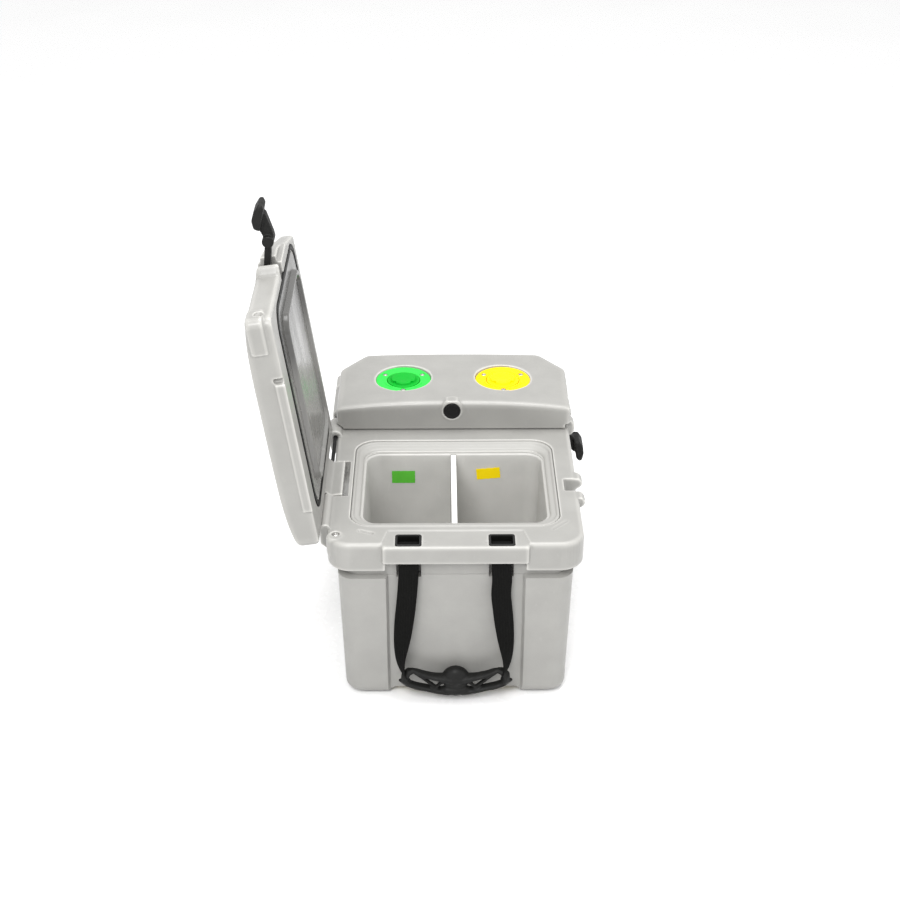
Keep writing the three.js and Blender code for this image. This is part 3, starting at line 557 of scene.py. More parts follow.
def even_outline(well, grow, radius, taper=1.0):
    """A tub's rounded rectangle, grown by the same width all round."""
    return rectangle(well["x"] * taper + grow, well["half_y"] * taper + grow, radius, 0, well["y"], 10)


def well_space(well):
    """The room that a tub takes in the base."""
    rings = [at_z(even_outline(well, TUB["wall"] + 1, TUB["radius"], TUB["taper"]), TUB["floor"] - 6)]
    rings.append(at_z(even_outline(well, TUB["wall"] + 1, TUB["radius"]), TUB["top"] - 6))
    rings.append(at_z(well_outline(well, 20.3, TUB["radius"] + 10), TUB["top"] - 5.4))
    rings.append(at_z(well_outline(well, 20.3, TUB["radius"] + 10), RIM["top"] + 4))
    return loft(rings)


def taper_at(z):
    rise = (z - TUB["floor"]) / (TUB["top"] - TUB["floor"])
    return TUB["taper"] + (1 - TUB["taper"]) * rise


def make_tub(name, well):
    """A liner: outside wall, flange with a raised bead, a sloping seat, a rounded mouth, wall and floor."""
    radius = TUB["radius"]
    rings = [at_z(even_outline(well, -10, radius, TUB["taper"]), TUB["floor"] - 4),
             at_z(even_outline(well, TUB["wall"], radius + 4, TUB["taper"]), TUB["floor"] + 6),
             at_z(even_outline(well, TUB["wall"], radius + 4), TUB["top"] - 8)]
    lip = [(19.6, -5), (19.8, 0), (19.4, 1.3), (18.2, 2.2), (16.6, 2.2), (15.2, 1.2), (14.2, -0.6),
           (12.6, -1.8),
           (9.0, -2.6), (6.4, -4.0), (5.2, -6.0), (4.6, -8.0), (3.6, -9.0), (2.2, -9.4), (0.9, -10.2),
           (0.2, -12)]
    rings += [at_z(well_outline(well, grow, radius + 0.5 * grow), TUB["top"] + rise) for grow, rise in lip]
    for z in (280, 240, 180, 120, 80, 62):
        rings.append(at_z(even_outline(well, 0, radius, taper_at(z)), z))
    fillet = 16
    for k in range(1, 6):
        turn = math.pi / 2 * k / 5
        inset = fillet * (1 - math.cos(turn))
        z = TUB["floor"] + fillet * (1 - math.sin(turn))
        rings.append(at_z(even_outline(well, -inset, radius, taper_at(z)), z))
    tub = loft(rings, name)
    if name == "front_tub":
        low, high = box_mm("tank_divider")
        slack = 0.4
        cut(tub, block(low.x - slack, high.x + slack, low.y - slack, high.y + slack, low.z - 1, 296))
    crease(tub, 50)
    return piece(tub, f"{name}_liner", "tank", "base", "tank", name)


# ---------------------------------------------------------------- base
def slot_x(x, y):
    """The right-hand strap of each end, seen from that end, sits a little nearer the middle."""
    return x - math.copysign(STRAP["shift"], x) if x * y < 0 else x


def strap_slots():
    tools = []
    for x in (-STRAP["x"], STRAP["x"]):
        for y in (-STRAP["y"], STRAP["y"]):
            middle = slot_x(x, y)
            tools.append(block(middle - STRAP["slot_x"] + 0.2, middle + STRAP["slot_x"] - 0.2,
                               y - STRAP["slot_y"] + 0.2, y + STRAP["slot_y"] - 0.2, 236, RIM["top"] + 5))
    return tools


def body_ring(z):
    """The lower body's outline at one height, with the recess of each side."""
    rise = min(1.0, z / RIM["bottom"])
    foot = BODY["foot"]
    inset = foot - math.sqrt(max(0.0, foot ** 2 - (foot - z) ** 2)) if z < foot else 0.0
    if z > BODY["neck"] - 3:
        inset = BODY["waist"] * min(1.0, (z - BODY["neck"] + 3) / 3)
    x = BODY["x"] * (BODY["taper_x"] + (1 - BODY["taper_x"]) * rise)
    y = BODY["y"] * (BODY["taper_y"] + (1 - BODY["taper_y"]) * rise)
    end = y - max(RECESS["depth"], inset + 0.3)
    low = min(1.0, max(0.0, (z - SIDE_RECESS["low"]) / 6))
    high = min(1.0, max(0.0, (SIDE_RECESS["high"] - z) / 6))
    side = x - max(SIDE_RECESS["depth"] * min(low, high), inset + 0.3)
    x, y = x - inset, y - inset
    right = [(RECESS["x"] - 2, -end), (RECESS["x"] + 2, -y), (x, -y), (x, -SIDE_RECESS["y"]),
             (side, -SIDE_RECESS["y"] + 6)]
    right += [(a, -b) for a, b in reversed(right)]
    points = right + [(-a, b) for a, b in reversed(right)]
    step = 1.6 if y - end > 4 else 0.1
    soft = [step, step, BODY["radius"], 1, 1]
    soft = soft + soft[::-1]
    return at_z(rounded(points, soft + soft[::-1], 6), z)


def floor_gap(sign):
    """The low gap under each end recess, between the two corner feet."""
    x, top = RECESS["x"] - 1, RECESS["gap"]
    outline = rounded([(x, -3), (x, top - 5), (x - 9, top), (-x + 9, top), (-x, top - 5), (-x, -3)],
                      [1, 4, 5, 5, 4, 1], 4)
    y = sorted((sign * 300, sign * (BODY["y"] - RECESS["gap_depth"])))
    return along_y(outline, *y)


def make_body():
    heights = [0, 0.5, 1.6, 3.4, 6, 9, 11.5, 14, 18, 22, 25, 28, 60, 110, 160, 200, 226, 229, 232,
               BODY["neck"] - 3, BODY["neck"] - 2, BODY["neck"] - 1, BODY["neck"], 256, 268]
    body = loft([body_ring(z) for z in heights])
    feet = [rod(20.5, (sx * 130, sy * 222, -1), (sx * 130, sy * 222, 4)) for sx in (-1, 1) for sy in (-1, 1)]
    drain_low, drain_high = box_mm("drain_plug")
    centre = (drain_low + drain_high) / 2
    drain = [rod(19, (centre.x, BODY["y"] - 13, centre.z), (centre.x, BODY["y"] + 10, centre.z)),
             rod(11.4, (centre.x, BODY["y"] - 30, centre.z), (centre.x, BODY["y"], centre.z))]
    cut(body, *[well_space(well) for well in WELLS.values()], *strap_slots(), *lug_reliefs(), *feet, *drain,
        floor_gap(-1), floor_gap(1))
    crease(body, 35)
    return piece(body, "lower_body", "body", "base", "shell")


def lug_reliefs():
    return [rod(31, (HINGE["x"], y0 - 2, HINGE["z"]), (HINGE["x"], y1 + 2, HINGE["z"]), 64)
            for y0, y1 in (LUG["front"], LUG["rear"])]


def rim_outline(inset):
    return rectangle(RIM["x"] - inset, RIM["y"] - inset, RIM["radius"] - inset * 0.6, 0, 0, 12)


def panel_outline(sign):
    def outline(inset):
        flank = PANEL["x"] + 6 - inset
        points = [(-flank + 10, -PANEL["back"]), (flank - 10, -PANEL["back"]),
                  (flank, -PANEL["front"] + 8 + inset), (flank - 3, -PANEL["front"] + inset),
                  (-flank + 3, -PANEL["front"] + inset), (-flank, -PANEL["front"] + 8 + inset)]
        return [(x, -sign * y) for x, y in rounded(points, 3, 4)]
    return outline


def hinge_block(y0, y1, barrel):
    arc = [(HINGE["x"] + barrel * math.cos(a), HINGE["z"] + barrel * math.sin(a))
           for a in [math.pi * (1 - k / 16) for k in range(17)]]
    points = [(-186, 262), (-204, 266), (HINGE["x"] - 8, 276)] + arc + [(-186, HINGE["z"])]
    return along_y(points, y0, y1)


def corner_boss(sign):
    """The rounded post that carries the hinge's corner screw."""
    top = RIM["top"]
    profile = [(0, 261), (6, 262), (10.5, 265), (13.6, 270), (15, 276), (15.4, 290), (15.4, top - 3.5),
               (14.4, top - 0.8), (12, top + 0.8), (0, top + 0.8)]
    return turned(profile, (-190.5, sign * 261), 48)


def ear(y0, y1, top):
    points = [(EAR["from"] - 4, EAR["low"]), (EAR["to"] - 4, EAR["low"] + 8), (EAR["to"], EAR["low"] + 14),
              (EAR["to"], top - 8), (EAR["to"] - 6, top), (EAR["from"] - 4, top)]
    return along_y(rounded(points, [2, 4, 5, 6, 4, 1], 4), y0, y1)


def latch_groove(y):
    points = [(182, RIM["top"] + 8), (185, 292), (189, 266), (196, 244), (230, 244), (230, RIM["top"] + 8)]
    return along_y(points, y - EAR["inner"], y + EAR["inner"])


def make_rim():
    top = RIM["top"]
    rim = pillow(rim_outline, RIM["bottom"], top, RIM["edge"], 3)
    cut(rim, *[block(-PANEL["x"], PANEL["x"], min(a, b), max(a, b), 240, PANEL["bottom"])
               for a, b in ((-310, -270), (270, 310))])
    steps = []
    panels = []
    for sign in (-1, 1):
        outline = panel_outline(-sign)
        steps.append(prism(outline(0), top - 2.4, top + 4))
        panels.append(pillow(outline, PANEL["bottom"], top - 1.2, 3.5, 2, 4))
    cut(rim, *steps)
    ears = []
    for y, tall in ((LATCH_Y["front"], EAR["top"]), (LATCH_Y["rear"], EAR["tall"])):
        ears += [ear(y - EAR["outer"], y - EAR["inner"], tall),
                 ear(y + EAR["inner"], y + EAR["outer"], EAR["top"])]
    blocks = [hinge_block(-240, -142, HINGE["barrel"]), hinge_block(58, 110, HINGE["middle"]),
              hinge_block(242, 284, HINGE["barrel"]), corner_boss(-1), corner_boss(1)]
    join(rim, *panels, *ears, *blocks)
    pin = rod(4, (HINGE["x"], -234.5, HINGE["z"]), (HINGE["x"], 278.5, HINGE["z"]))
    screws = []
    for sign in (-1, 1):
        low, high = box_mm("front_hinge_screw" if sign < 0 else "rear_hinge_screw")
        x, y = (low.x + high.x) / 2, (low.y + high.y) / 2
        screws.append(rod(6.4, (x, y, top - 5), (x, y, top + 6)))
    marks = [limb([(-156, -246, top + 1), (-130, -256, top + 1)], [3.6, 3.6]),
             limb([(155, -246, top + 1), (181, -220, top + 1)], [3.6, 3.6])]
    dots = [rod(1.8, (x, -279.5, top - 6), (x, -279.5, top + 4), 16) for x in (-48.5, 48.5)]
    grooves = [latch_groove(y) for y in LATCH_Y.values()]
    cut(rim, *[well_space(well) for well in WELLS.values()], *strap_slots(), *lug_reliefs(), pin, *screws,
        *marks, *dots, *grooves)
    soften(rim, 1.8, 3)
    return piece(rim, "rim", "shell", "base", "shell", "base_shell", "hinge_rail", "front_keeper",
                 "rear_keeper")


# ---------------------------------------------------------------- lids
def crown(x, y):
    """How high the lids' arched top stands over the flat level, at a place on it."""
    end = "front" if y < LID["split"] else "rear"
    share = min(1.0, abs(y - LID["split"]) / 210)
    height = CROWN["split"] + (CROWN[end] - CROWN["split"]) * share
    drop = CROWN["split_drop"] + (CROWN[f"{end}_drop"] - CROWN["split_drop"]) * share
    power = 2.5 + (2.5 * share if end == "front" else 0)
    return height - drop * (abs(x) / 205) ** power - LID["top"]


def arch(obj):
    """Lifts the upper part of a lid's mesh to its arched top."""
    low = 325
    for vertex in obj.data.vertices:
        x, y, z = vertex.co / MM
        rise = (z - low) / (LID["top"] - low)
        if rise > 0:
            vertex.co.z += crown(x, y) * min(1.0, rise) * MM
    obj.data.update()
    return obj


def front_lid_outline(inset):
    """Narrower near the end, full width at the latch, and tapered at the far corner."""
    x, y0, y1 = LID["x"] - inset, LID["front"] + inset, LID["split"] - LID["gap"] - inset * 0.6
    near = FLANK["near_x"] - inset
    points = [(near, y0), (near, FLANK["step"][0] - inset * 0.5), (x, FLANK["step"][1] + inset * 0.3),
              (x, FLANK["taper"] - inset * 0.2), (FLANK["far_x"] - inset, y1), (-x, y1), (-x, y0)]
    return rounded(points, [max(4, 14 - inset * 0.5), 2, 3, 12, 6, 6, max(4, 16 - inset * 0.5)], 8)


def rear_lid_outline(inset):
    x, y0, y1 = LID["x"] - inset, LID["split"] + LID["gap"] + inset * 0.8, LID["back"] - inset
    cx, cy = CHAMFER["x"], CHAMFER["y"]
    points = [(x, y0), (x, y1 - cy), (x - cx, y1), (-x + cx, y1), (-x, y1 - cy), (-x, y0)]
    return rounded(points, [5, 9, 9, 9, 9, 5], 6)


FLANK_SCREW = (191.5, -273, 326)


def hinge_lug(y0, y1):
    hx, hz = HINGE["x"], HINGE["z"]
    points = [(hx + 3, hz - LUG["tip"]), (hx + 3, hz - 4), (hx + 14, hz + 5), (hx + 14, hz + 20),
              (hx + 1, hz + 20),
              (hx - 8, hz + 10), (hx - 8, hz - LUG["tip"] + 2), (hx - 5, hz - LUG["tip"])]
    return along_y(points, y0, y1)


def latch_pocket(y):
    points = [(168, 317), (168, 342.5), (172, 346.5), (225, 346.5), (225, 300), (178, 300)]
    return along_y(rounded(points, [2, 3, 3, 1, 1, 2], 3), y - 16, y + 16)


def seal_ring(well, inner, outer, z0, z1):
    return cut(prism(well_outline(well, 20 + outer, TUB["radius"] + 10), z0, z1),
               prism(well_outline(well, 20 + inner, TUB["radius"] + 8), z0 - 1, z1 + 1))


def lid_tools(well, latch_y, lug):
    """What is cut out of both lids: barrel clearances, panel seat, seal groove and latch pocket."""
    y0, y1 = lug
    along = [rod(10.2, (HINGE["x"], a, HINGE["z"]), (HINGE["x"], b, HINGE["z"]), 48)
             for a, b in ((-400, y0), (y1, 400))]
    pivot = 184, 330
    return along + [
        rod(14.4, (HINGE["x"], 56, HINGE["z"]), (HINGE["x"], 112, HINGE["z"]), 48),
        rod(4, (HINGE["x"], y0 - 1, HINGE["z"]), (HINGE["x"], y1 + 1, HINGE["z"])),
        prism(well_outline(well, 18.6, TUB["radius"] + 8), LID["bottom"] - 2, LID["bottom"] + 4.5),
        seal_ring(well, 0.2, 7.8, LID["bottom"] - 2, LID["bottom"] + 3),
        latch_pocket(latch_y),
        rod(3.6, (pivot[0], latch_y - 26, pivot[1]), (pivot[0], latch_y + 26, pivot[1])),
    ]


hinge = next(j for j in frame["joints"] if j["name"] == "front_lid_hinge")
open_degrees = -min(hinge["range_deg"])
hinge_point = Vector(hinge["pos_m"])
OPENED = (Matrix.Translation(hinge_point) @ Matrix.Rotation(math.radians(open_degrees), 4, Vector((0, -1, 0)))
          @ Matrix.Translation(-hinge_point))


def far_corner_cut():
    """The slope that takes the top edge off the front lid's far corner."""
    inner = [(150, -90, 356), (120, 84, 356)]
    outer = [(212, -90, 338), (180, 84, 322)]
    rings = []
    for (ix, iy, iz), (ox, oy, oz) in zip(inner, outer):
        rings.append([(ix, iy, iz), (ox, oy, oz), (ox + 60, oy, oz), (ox + 60, oy, 420), (ix, iy, 420)])
    return loft(rings)


def make_front_lid_core():
    """The front lid's foam core, trimmed to lie under the sloped far corner."""
    bm = bmesh.new()
    bm.from_mesh(frame["nodes"]["front_lid_foam"].data)
    bmesh.ops.scale(bm, vec=(1 / MM, 1 / MM, 1 / MM), verts=bm.verts)
    bmesh.ops.remove_doubles(bm, verts=bm.verts, dist=0.01)
    wall = 7 * MM
    slope = moved(far_corner_cut(), OPENED @ Matrix.Translation((0, 0, -wall)))
    core = cut(new_object("core", bm), slope)
    return piece(core, "front_lid_core", "foam", "front_lid", "foam", "front_lid_foam")


def corner_block():
    """The raised block that carries the screw at the near latch-side corner."""
    x0, x1, y0 = FLANK["block"]
    rings = []
    for inset, z in ((3, 319), (0.5, 320.5), (0, 323), (0, 340), (1, 344), (6, 347)):
        outline = rounded([(x1 - inset, y0 + inset), (x1 - inset, -256), (x0 + inset, -256),
                           (x0 + inset, y0 + inset)],
                          [12, 3, 3, 3], 5)
        rings.append(at_z(outline, z))
    return loft(rings)


def lip_strip():
    """The ridged strip along the bottom of the front lid's near end."""
    section = rounded([(-3.4, 305.4), (-3.4, 308), (0, 309), (0, 321), (-5.2, 321), (-7, 319), (-7, 307),
                       (-5.8, 305.4)],
                      [0.2, 0.3, 0.3, 0.3, 1, 1.5, 0.8, 0.6], 3)
    return loft([[(x, LID["front"] + 3 + p[0], p[1]) for p in section] for x in (-138, 86)])


def make_front_lid():
    well = WELLS["front_tub"]
    lid = pillow(front_lid_outline, LID["bottom"], LID["top"], LID["edge"], 1.5)
    soften(lid, 3.2, 1)
    arch(lid)
    join(lid, hinge_lug(*LUG["front"]), corner_block(), lip_strip())
    grooves = [block(-130, 90, -310, LID["front"] - 1.4, z, z + 2.3) for z in (309.2, 314.6)]
    notch = block(87, 95, -300, -287, 304, 322)
    screw_x, screw_y, screw_z = FLANK_SCREW
    screw_well = rod(7, (screw_x - 1.5, screw_y, screw_z), (230, screw_y, screw_z))
    ledges = [block(198, 220, -92, -66, 340, 360), block(196, 220, -92, -20, 300, 314)]
    cut(lid, far_corner_cut(), *lid_tools(well, LATCH_Y["front"], LUG["front"]), *grooves, notch,
        screw_well, *ledges)
    soften(lid, 1.7, 2)
    moved(lid, OPENED)
    return piece(lid, "front_lid_moulding", "shell", "front_lid", "shell", "front_lid_shell")


def make_rear_lid():
    well = WELLS["rear_tub"]
    lid = pillow(rear_lid_outline, LID["bottom"], LID["top"], LID["edge"], 1.5)
    soften(lid, 3.0, 1)
    arch(lid)
    face = LID["split"] + LID["gap"]
    boss_at = (PLUG["x"], PLUG["z"])
    boss = loft([[(boss_at[0] + r * math.cos(TAU * i / 64), y, boss_at[1] + r * math.sin(TAU * i / 64))
                  for i in range(64)]
                 for r, y in ((17.0, face - 1.0), (18.4, face - 0.9), (20.4, face + 0.2), (21.5, face + 2),
                              (21.5, face + 16), (17, face + 21))])
    cut(boss, block(-40, 40, 0, 200, PLUG["crest"] + 1, 400))
    join(lid, hinge_lug(*LUG["rear"]), boss)
    scallops = [limb([(s * 212, 96, 345), (s * 203, 111, 353), (s * 212, 126, 345)], [4, 4.5, 4])
                for s in (-1, 1)]
    seats = [rod(HATCH["radius"] + 0.7, (x, HATCH["y"], HATCH["top"] - 1), (x, HATCH["y"], 380), 96)
             for x in (-HATCH["x"], HATCH["x"])]
    bores = [rod(34.8, (x, HATCH["y"], 325), (x, HATCH["y"], 360), 64) for x in (-HATCH["x"], HATCH["x"])]
    plug_seat = rod(PLUG["radius"] + 0.7, (boss_at[0], face - 6, boss_at[1]),
                    (boss_at[0], face + 3.4, boss_at[1]), 64)
    ear_notch = block(197.5, 220, 70, 119, 300, EAR["tall"] + 1.5)
    cut(lid, *lid_tools(well, LATCH_Y["rear"], LUG["rear"]), *scallops, *seats, *bores, plug_seat, ear_notch)
    soften(lid, 1.7, 2)
    return piece(lid, "rear_lid_moulding", "shell", "rear_lid", "shell", "rear_lid_shell")


def make_lid_panel(name, well, body, matrix=None):
    """The liner under a lid: a flat border, a skirt that drops into the tub, and a dished floor."""
    bottom = LID["bottom"]
    rings = [at_z(well_outline(well, 18.2, TUB["radius"] + 8), bottom + 3.9),
             at_z(well_outline(well, 18.2, TUB["radius"] + 8), bottom + 0.4),
             at_z(well_outline(well, 17.6, TUB["radius"] + 8), bottom - 0.2),
             at_z(even_outline(well, -1.5, TUB["radius"]), bottom - 0.3),
             at_z(even_outline(well, -3.2, TUB["radius"]), bottom - 1.6),
             at_z(even_outline(well, -4.2, TUB["radius"]), bottom - 7),
             at_z(even_outline(well, -5.4, TUB["radius"]), bottom - 8.6),
             at_z(even_outline(well, -8.6, TUB["radius"]), bottom - 8.8),
             at_z(even_outline(well, -10.2, TUB["radius"]), bottom - 7.6),
             at_z(even_outline(well, -12, TUB["radius"] - 2), bottom - 4.2),
             at_z(even_outline(well, -14.5, TUB["radius"] - 4), bottom - 3)]
    panel = crease(loft(rings), 60)
    if matrix is not None:
        moved(panel, matrix)
    return piece(panel, f"{name}_liner", "lid_panel", body, "lid_panel", name)


def make_gasket(name, well, body, matrix=None):
    ring = seal_ring(well, 0.6, 7.2, LID["bottom"] - 0.9, LID["bottom"] + 2.6)
    chamfered(ring, 0.8, 2, 50)
    if matrix is not None:
        moved(ring, matrix)
    return piece(ring, f"{name}_ring", "seal_rubber", body, "seal_rubber", name)


# ---------------------------------------------------------------- latches
def make_latch(name, pivot, degrees, body):
    """A rubber T-latch, drawn along +X from its pivot with its outward side up."""
    k = KNUCKLE
    stem = along_y(rounded([(-10, -10.5), (0, -6.5), (6, -5.2), (k - 6, -5.0), (k - 6, 5.2), (6, 5.6),
                            (0, 6.5), (-10, 11.5)],
                           [2, 4, 6, 1, 1, 6, 4, 2], 3), -9, 9)
    knuckle = rod(9.2, (k, -17, 0), (k, 17, 0))
    neck = along_y(rounded([(k - 4, -7), (k + 9, -8.6), (k + 14, -6.5), (k + 44, 6), (k + 40, 15),
                            (k + 16, 14), (k + 6, 8), (k - 3, 8)], [2, 3, 3, 2, 2, 3, 4, 2], 3), -9, 9)
    bar_from = k + 17
    bar_outline = rounded([(bar_from, 11.5), (bar_from + 22, 9.2), (bar_from + 36, 7.6),
                           (bar_from + 43.5, 11.5),
                           (bar_from + 42, 17), (bar_from + 30, 23.2), (bar_from + 16, 25.8),
                           (bar_from + 3, 22)],
                          [3, 8, 4, 3, 3, 8, 8, 5], 4)
    middle = Vector((bar_from + 21, 17))
    rings = []
    for share, half in ((0.72, -22), (0.9, -21), (1.0, -18), (1.0, 18), (0.9, 21), (0.72, 22)):
        rings.append([(middle.x + (p[0] - middle.x) * share, half, middle.y + (p[1] - middle.y) * share)
                      for p in bar_outline])
    latch = join(stem, knuckle, neck, loft(rings))
    foot_pad = block(-10.5, -6, -11, 11, -11, 12)
    join(latch, foot_pad)
    cut(latch, rod(3.4, (0, -15, 0), (0, 15, 0)))
    soften(latch, 1.1, 4)
    place = Matrix.Translation(pivot) @ Matrix.Rotation(math.radians(degrees), 4, Vector((0, -1, 0)))
    moved(latch, place)
    return piece(latch, f"{name}_t_latch", "rubber", body, "rubber", f"{name}_latch")


# ---------------------------------------------------------------- hatches
def hatch_screw_places(x):
    return [(x + HATCH["screws"] * math.cos(math.radians(a)),
             HATCH["y"] + HATCH["screws"] * math.sin(math.radians(a)))
            for a in (-90, 30, 150)]


def make_screw(name, x, y, top, head, length, body, replaced, matrix=None):
    """A pan-head screw with a cross recess."""
    profile = [(0, top - length), (head * 0.4, top - length + 1), (head * 0.4, top - head * 0.4),
               (head * 0.94, top - head * 0.38),
               (head, top - head * 0.24), (head * 0.9, top - head * 0.08), (head * 0.6, top), (0, top)]
    screw = turned(profile, (x, y), 32)
    slot, half = head * 0.55, head * 0.13
    cut(screw, block(x - slot, x + slot, y - half, y + half, top - head * 0.25, top + 2),
        block(x - half, x + half, y - slot, y + slot, top - head * 0.25, top + 2))
    crease(screw, 30)
    if matrix is not None:
        moved(screw, matrix)
    return piece(screw, name, "steel", body, "steel", replaced)


def arc_rib(x, radius, width, start, end, z0, z1):
    """A raised rib along part of a circle."""
    count = 24
    angles = [math.radians(start + (end - start) * k / count) for k in range(count + 1)]
    outer = [(x + (radius + width) * math.cos(a), HATCH["y"] + (radius + width) * math.sin(a))
             for a in angles]
    inner = [(x + radius * math.cos(a), HATCH["y"] + radius * math.sin(a)) for a in reversed(angles)]
    return prism(outer + inner, z0, z1)


def make_hatch(colour, x):
    seat = HATCH["top"] - 0.8
    radius = HATCH["radius"]
    low_ring = 30.0
    profile = [(low_ring, seat - 12), (33.8, seat - 12), (33.8, seat + 0.1), (radius - 0.3, seat + 0.1),
               (radius, seat + 0.6),
               (radius, seat + 2.0), (radius - 0.7, seat + 2.8), (radius - 2.2, seat + 3.0),
               (low_ring + 2.2, seat + 3.0),
               (low_ring + 0.6, seat + 2.2), (low_ring, seat + 1.0)]
    flange = ring_of(profile, (x, HATCH["y"]))
    join(flange, arc_rib(x, 34, 2.2, 200, 236, seat + 2, seat + 3.9),
         arc_rib(x, 34, 2.2, 304, 340, seat + 2, seat + 3.9))
    wells = [rod(5.0, (px, py, seat + 0.6), (px, py, seat + 6), 32) for px, py in hatch_screw_places(x)]
    shanks = [rod(2.2, (px, py, seat - 4), (px, py, seat + 6), 16) for px, py in hatch_screw_places(x)]
    cut(flange, *wells, *shanks)
    chamfered(flange, 0.35, 2, 35)
    piece(flange, f"{colour}_hatch_ring", f"{colour}_plastic", "rear_lid", f"{colour}_plastic",
          f"{colour}_hatch_flange")

    top = HATCH["top"]
    cap = HATCH["cap"]
    dish = [(0, top - 11), (25.6, top - 11), (25.6, top - 0.8), (cap, top - 0.8), (cap, top + 1.6),
            (cap - 0.8, top + 2.3),
            (cap - 2.2, top + 2.5), (25.2, top + 2.3), (24.2, top + 1.4), (23.4, top + 1.6)]
    knob, rise = HATCH["knob"], HATCH["rise"]
    dish += [(knob, top + 2.6), (knob - 0.3, top + rise - 1.6), (knob - 1.6, top + rise - 0.3),
             (knob - 4, top + rise), (12, top + rise - 0.6), (0, top + rise - 0.9)]
    lid = turned(dish, (x, HATCH["y"]), 72)
    scallops = []
    for degrees in (-45, 45, 135, 225):
        angle = math.radians(degrees)
        at = (x + 25 * math.cos(angle), HATCH["y"] + 25 * math.sin(angle))
        scallops.append(rod(5, (*at, top + 2.8), (*at, top + 12), 28))
    cut(lid, *scallops)
    chamfered(lid, 0.5, 2, 40)
    look = "green_cap" if colour == "green" else "yellow_plastic"
    piece(lid, f"{colour}_hatch_dish", look, f"{colour}_cap", f"{colour}_plastic", f"{colour}_hatch_cap")
    for index, (px, py) in enumerate(hatch_screw_places(x), 1):
        make_screw(f"{colour}_screw_{index}", px, py, HATCH["top"] + 2.2, 4.2, 7, "rear_lid",
                   f"{colour}_hatch_screw_{index}")


def ring_of(profile, centre, sides=96):
    """A ring: a closed (radius, z) profile turned about Z."""
    bm = bmesh.new()
    rings = [[bm.verts.new((centre[0] + r * math.cos(TAU * i / sides),
                            centre[1] + r * math.sin(TAU * i / sides), z))
              for i in range(sides)] for r, z in profile]
    for k, low in enumerate(rings):
        high = rings[(k + 1) % len(rings)]
        for i in range(sides):
            j = (i + 1) % sides
            bm.faces.new((low[i], low[j], high[j], high[i]))
    return new_object("ring", bm)


# ---------------------------------------------------------------- carry handles
def tape_path(side):
    """Centre, half width and twist of the webbing, from its bar in the rim down to the grip's loop."""
    reach = 1.0 if side < 0 else 0.96
    return [
        (75, -266.5, 284, 16, 0), (75, -268.0, 294, 16, 0), (75, -272.0, 299.4, 16, 0),
        (75, -278.0, 299.2, 16, 0),
        (75, -282.6, 294, 16, 0), (75, -285.0, 284, 16, 0), (75, -286.8, 272, 16, 0),
        (75, -287.2, 258, 16, 0),
        (76, -287.4, 236, 16, 2), (78.0 * reach, -287.6, 210, 16, 4), (80.5 * reach, -288, 184, 16, 8),
        (83.5 * reach, -288.6, 158, 16, 16), (86.5 * reach, -289.6, 132, 15.6, 27),
        (89.2 * reach, -291.4, 110, 15, 40),
        (90.8 * reach, -293.2, 92, 14, 52), (90.6 * reach, -294.6, 76, 12.6, 60),
        (88.0 * reach, -295, 62, 11, 64),
        (83.5 * reach, -295, 50, 10, 66),
    ]


def smooth_rows(rows, between=4):
    """Catmull-Rom rows between the listed ones."""
    out = []
    for i in range(len(rows) - 1):
        p0, p1, p2, p3 = (rows[max(0, i - 1)], rows[i], rows[i + 1], rows[min(len(rows) - 1, i + 2)])
        for k in range(between):
            t = k / between
            out.append(tuple(
                0.5 * (2 * b + (c - a) * t + (2 * a - 5 * b + 4 * c - d) * t * t
                       + (3 * b - a - 3 * c + d) * t ** 3)
                for a, b, c, d in zip(p0, p1, p2, p3)))
    out.append(rows[-1])
    return out


def make_tape(end, side):
    """One length of webbing. At the front end, side is -1 for the strap at -X and 1 for the one at +X."""
    rows = smooth_rows(tape_path(side))
    thick = STRAP["thick"] / 2
    rings = []
    for i, (x, y, z, half, twist) in enumerate(rows):
        before, after = rows[max(0, i - 1)], rows[min(len(rows) - 1, i + 1)]
        along = Vector((after[0] - before[0], after[1] - before[1], after[2] - before[2])).normalized()
        turn = math.radians(twist)
        across = Vector((math.cos(turn), math.sin(turn), 0))
        across = (across - along * across.dot(along)).normalized()
        out = along.cross(across)
        centre = Vector((x - (STRAP["shift"] if side > 0 else 0), y, z))
        section = []
        for u, v in [(-1, -0.6), (-0.97, -1), (-0.6, -1), (-0.2, -1), (0.2, -1), (0.6, -1), (0.97, -1),
                     (1, -0.6),
                     (1, 0.6), (0.97, 1), (0.6, 1), (0.2, 1), (-0.2, 1), (-0.6, 1), (-0.97, 1), (-1, 0.6)]:
            section.append(tuple(centre + across * half * u + out * thick * v))
        rings.append(section)
    tape = loft(rings)
    tape.data.shade_smooth()
    flip = side < 0
    if flip:
        mirrored(tape, "x")
    if end == "rear":
        moved(tape, Matrix.Rotation(math.pi, 4, "Z"))
    hand = "left" if side < 0 else "right"
    name = f"{end}_{hand}"
    tape.name = f"{name}_webbing"
    tape.data.name = tape.name
    dress(tape, "webbing")
    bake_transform(tape)
    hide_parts(f"{name}_strap", f"{name}_strap_anchor")
    return tape


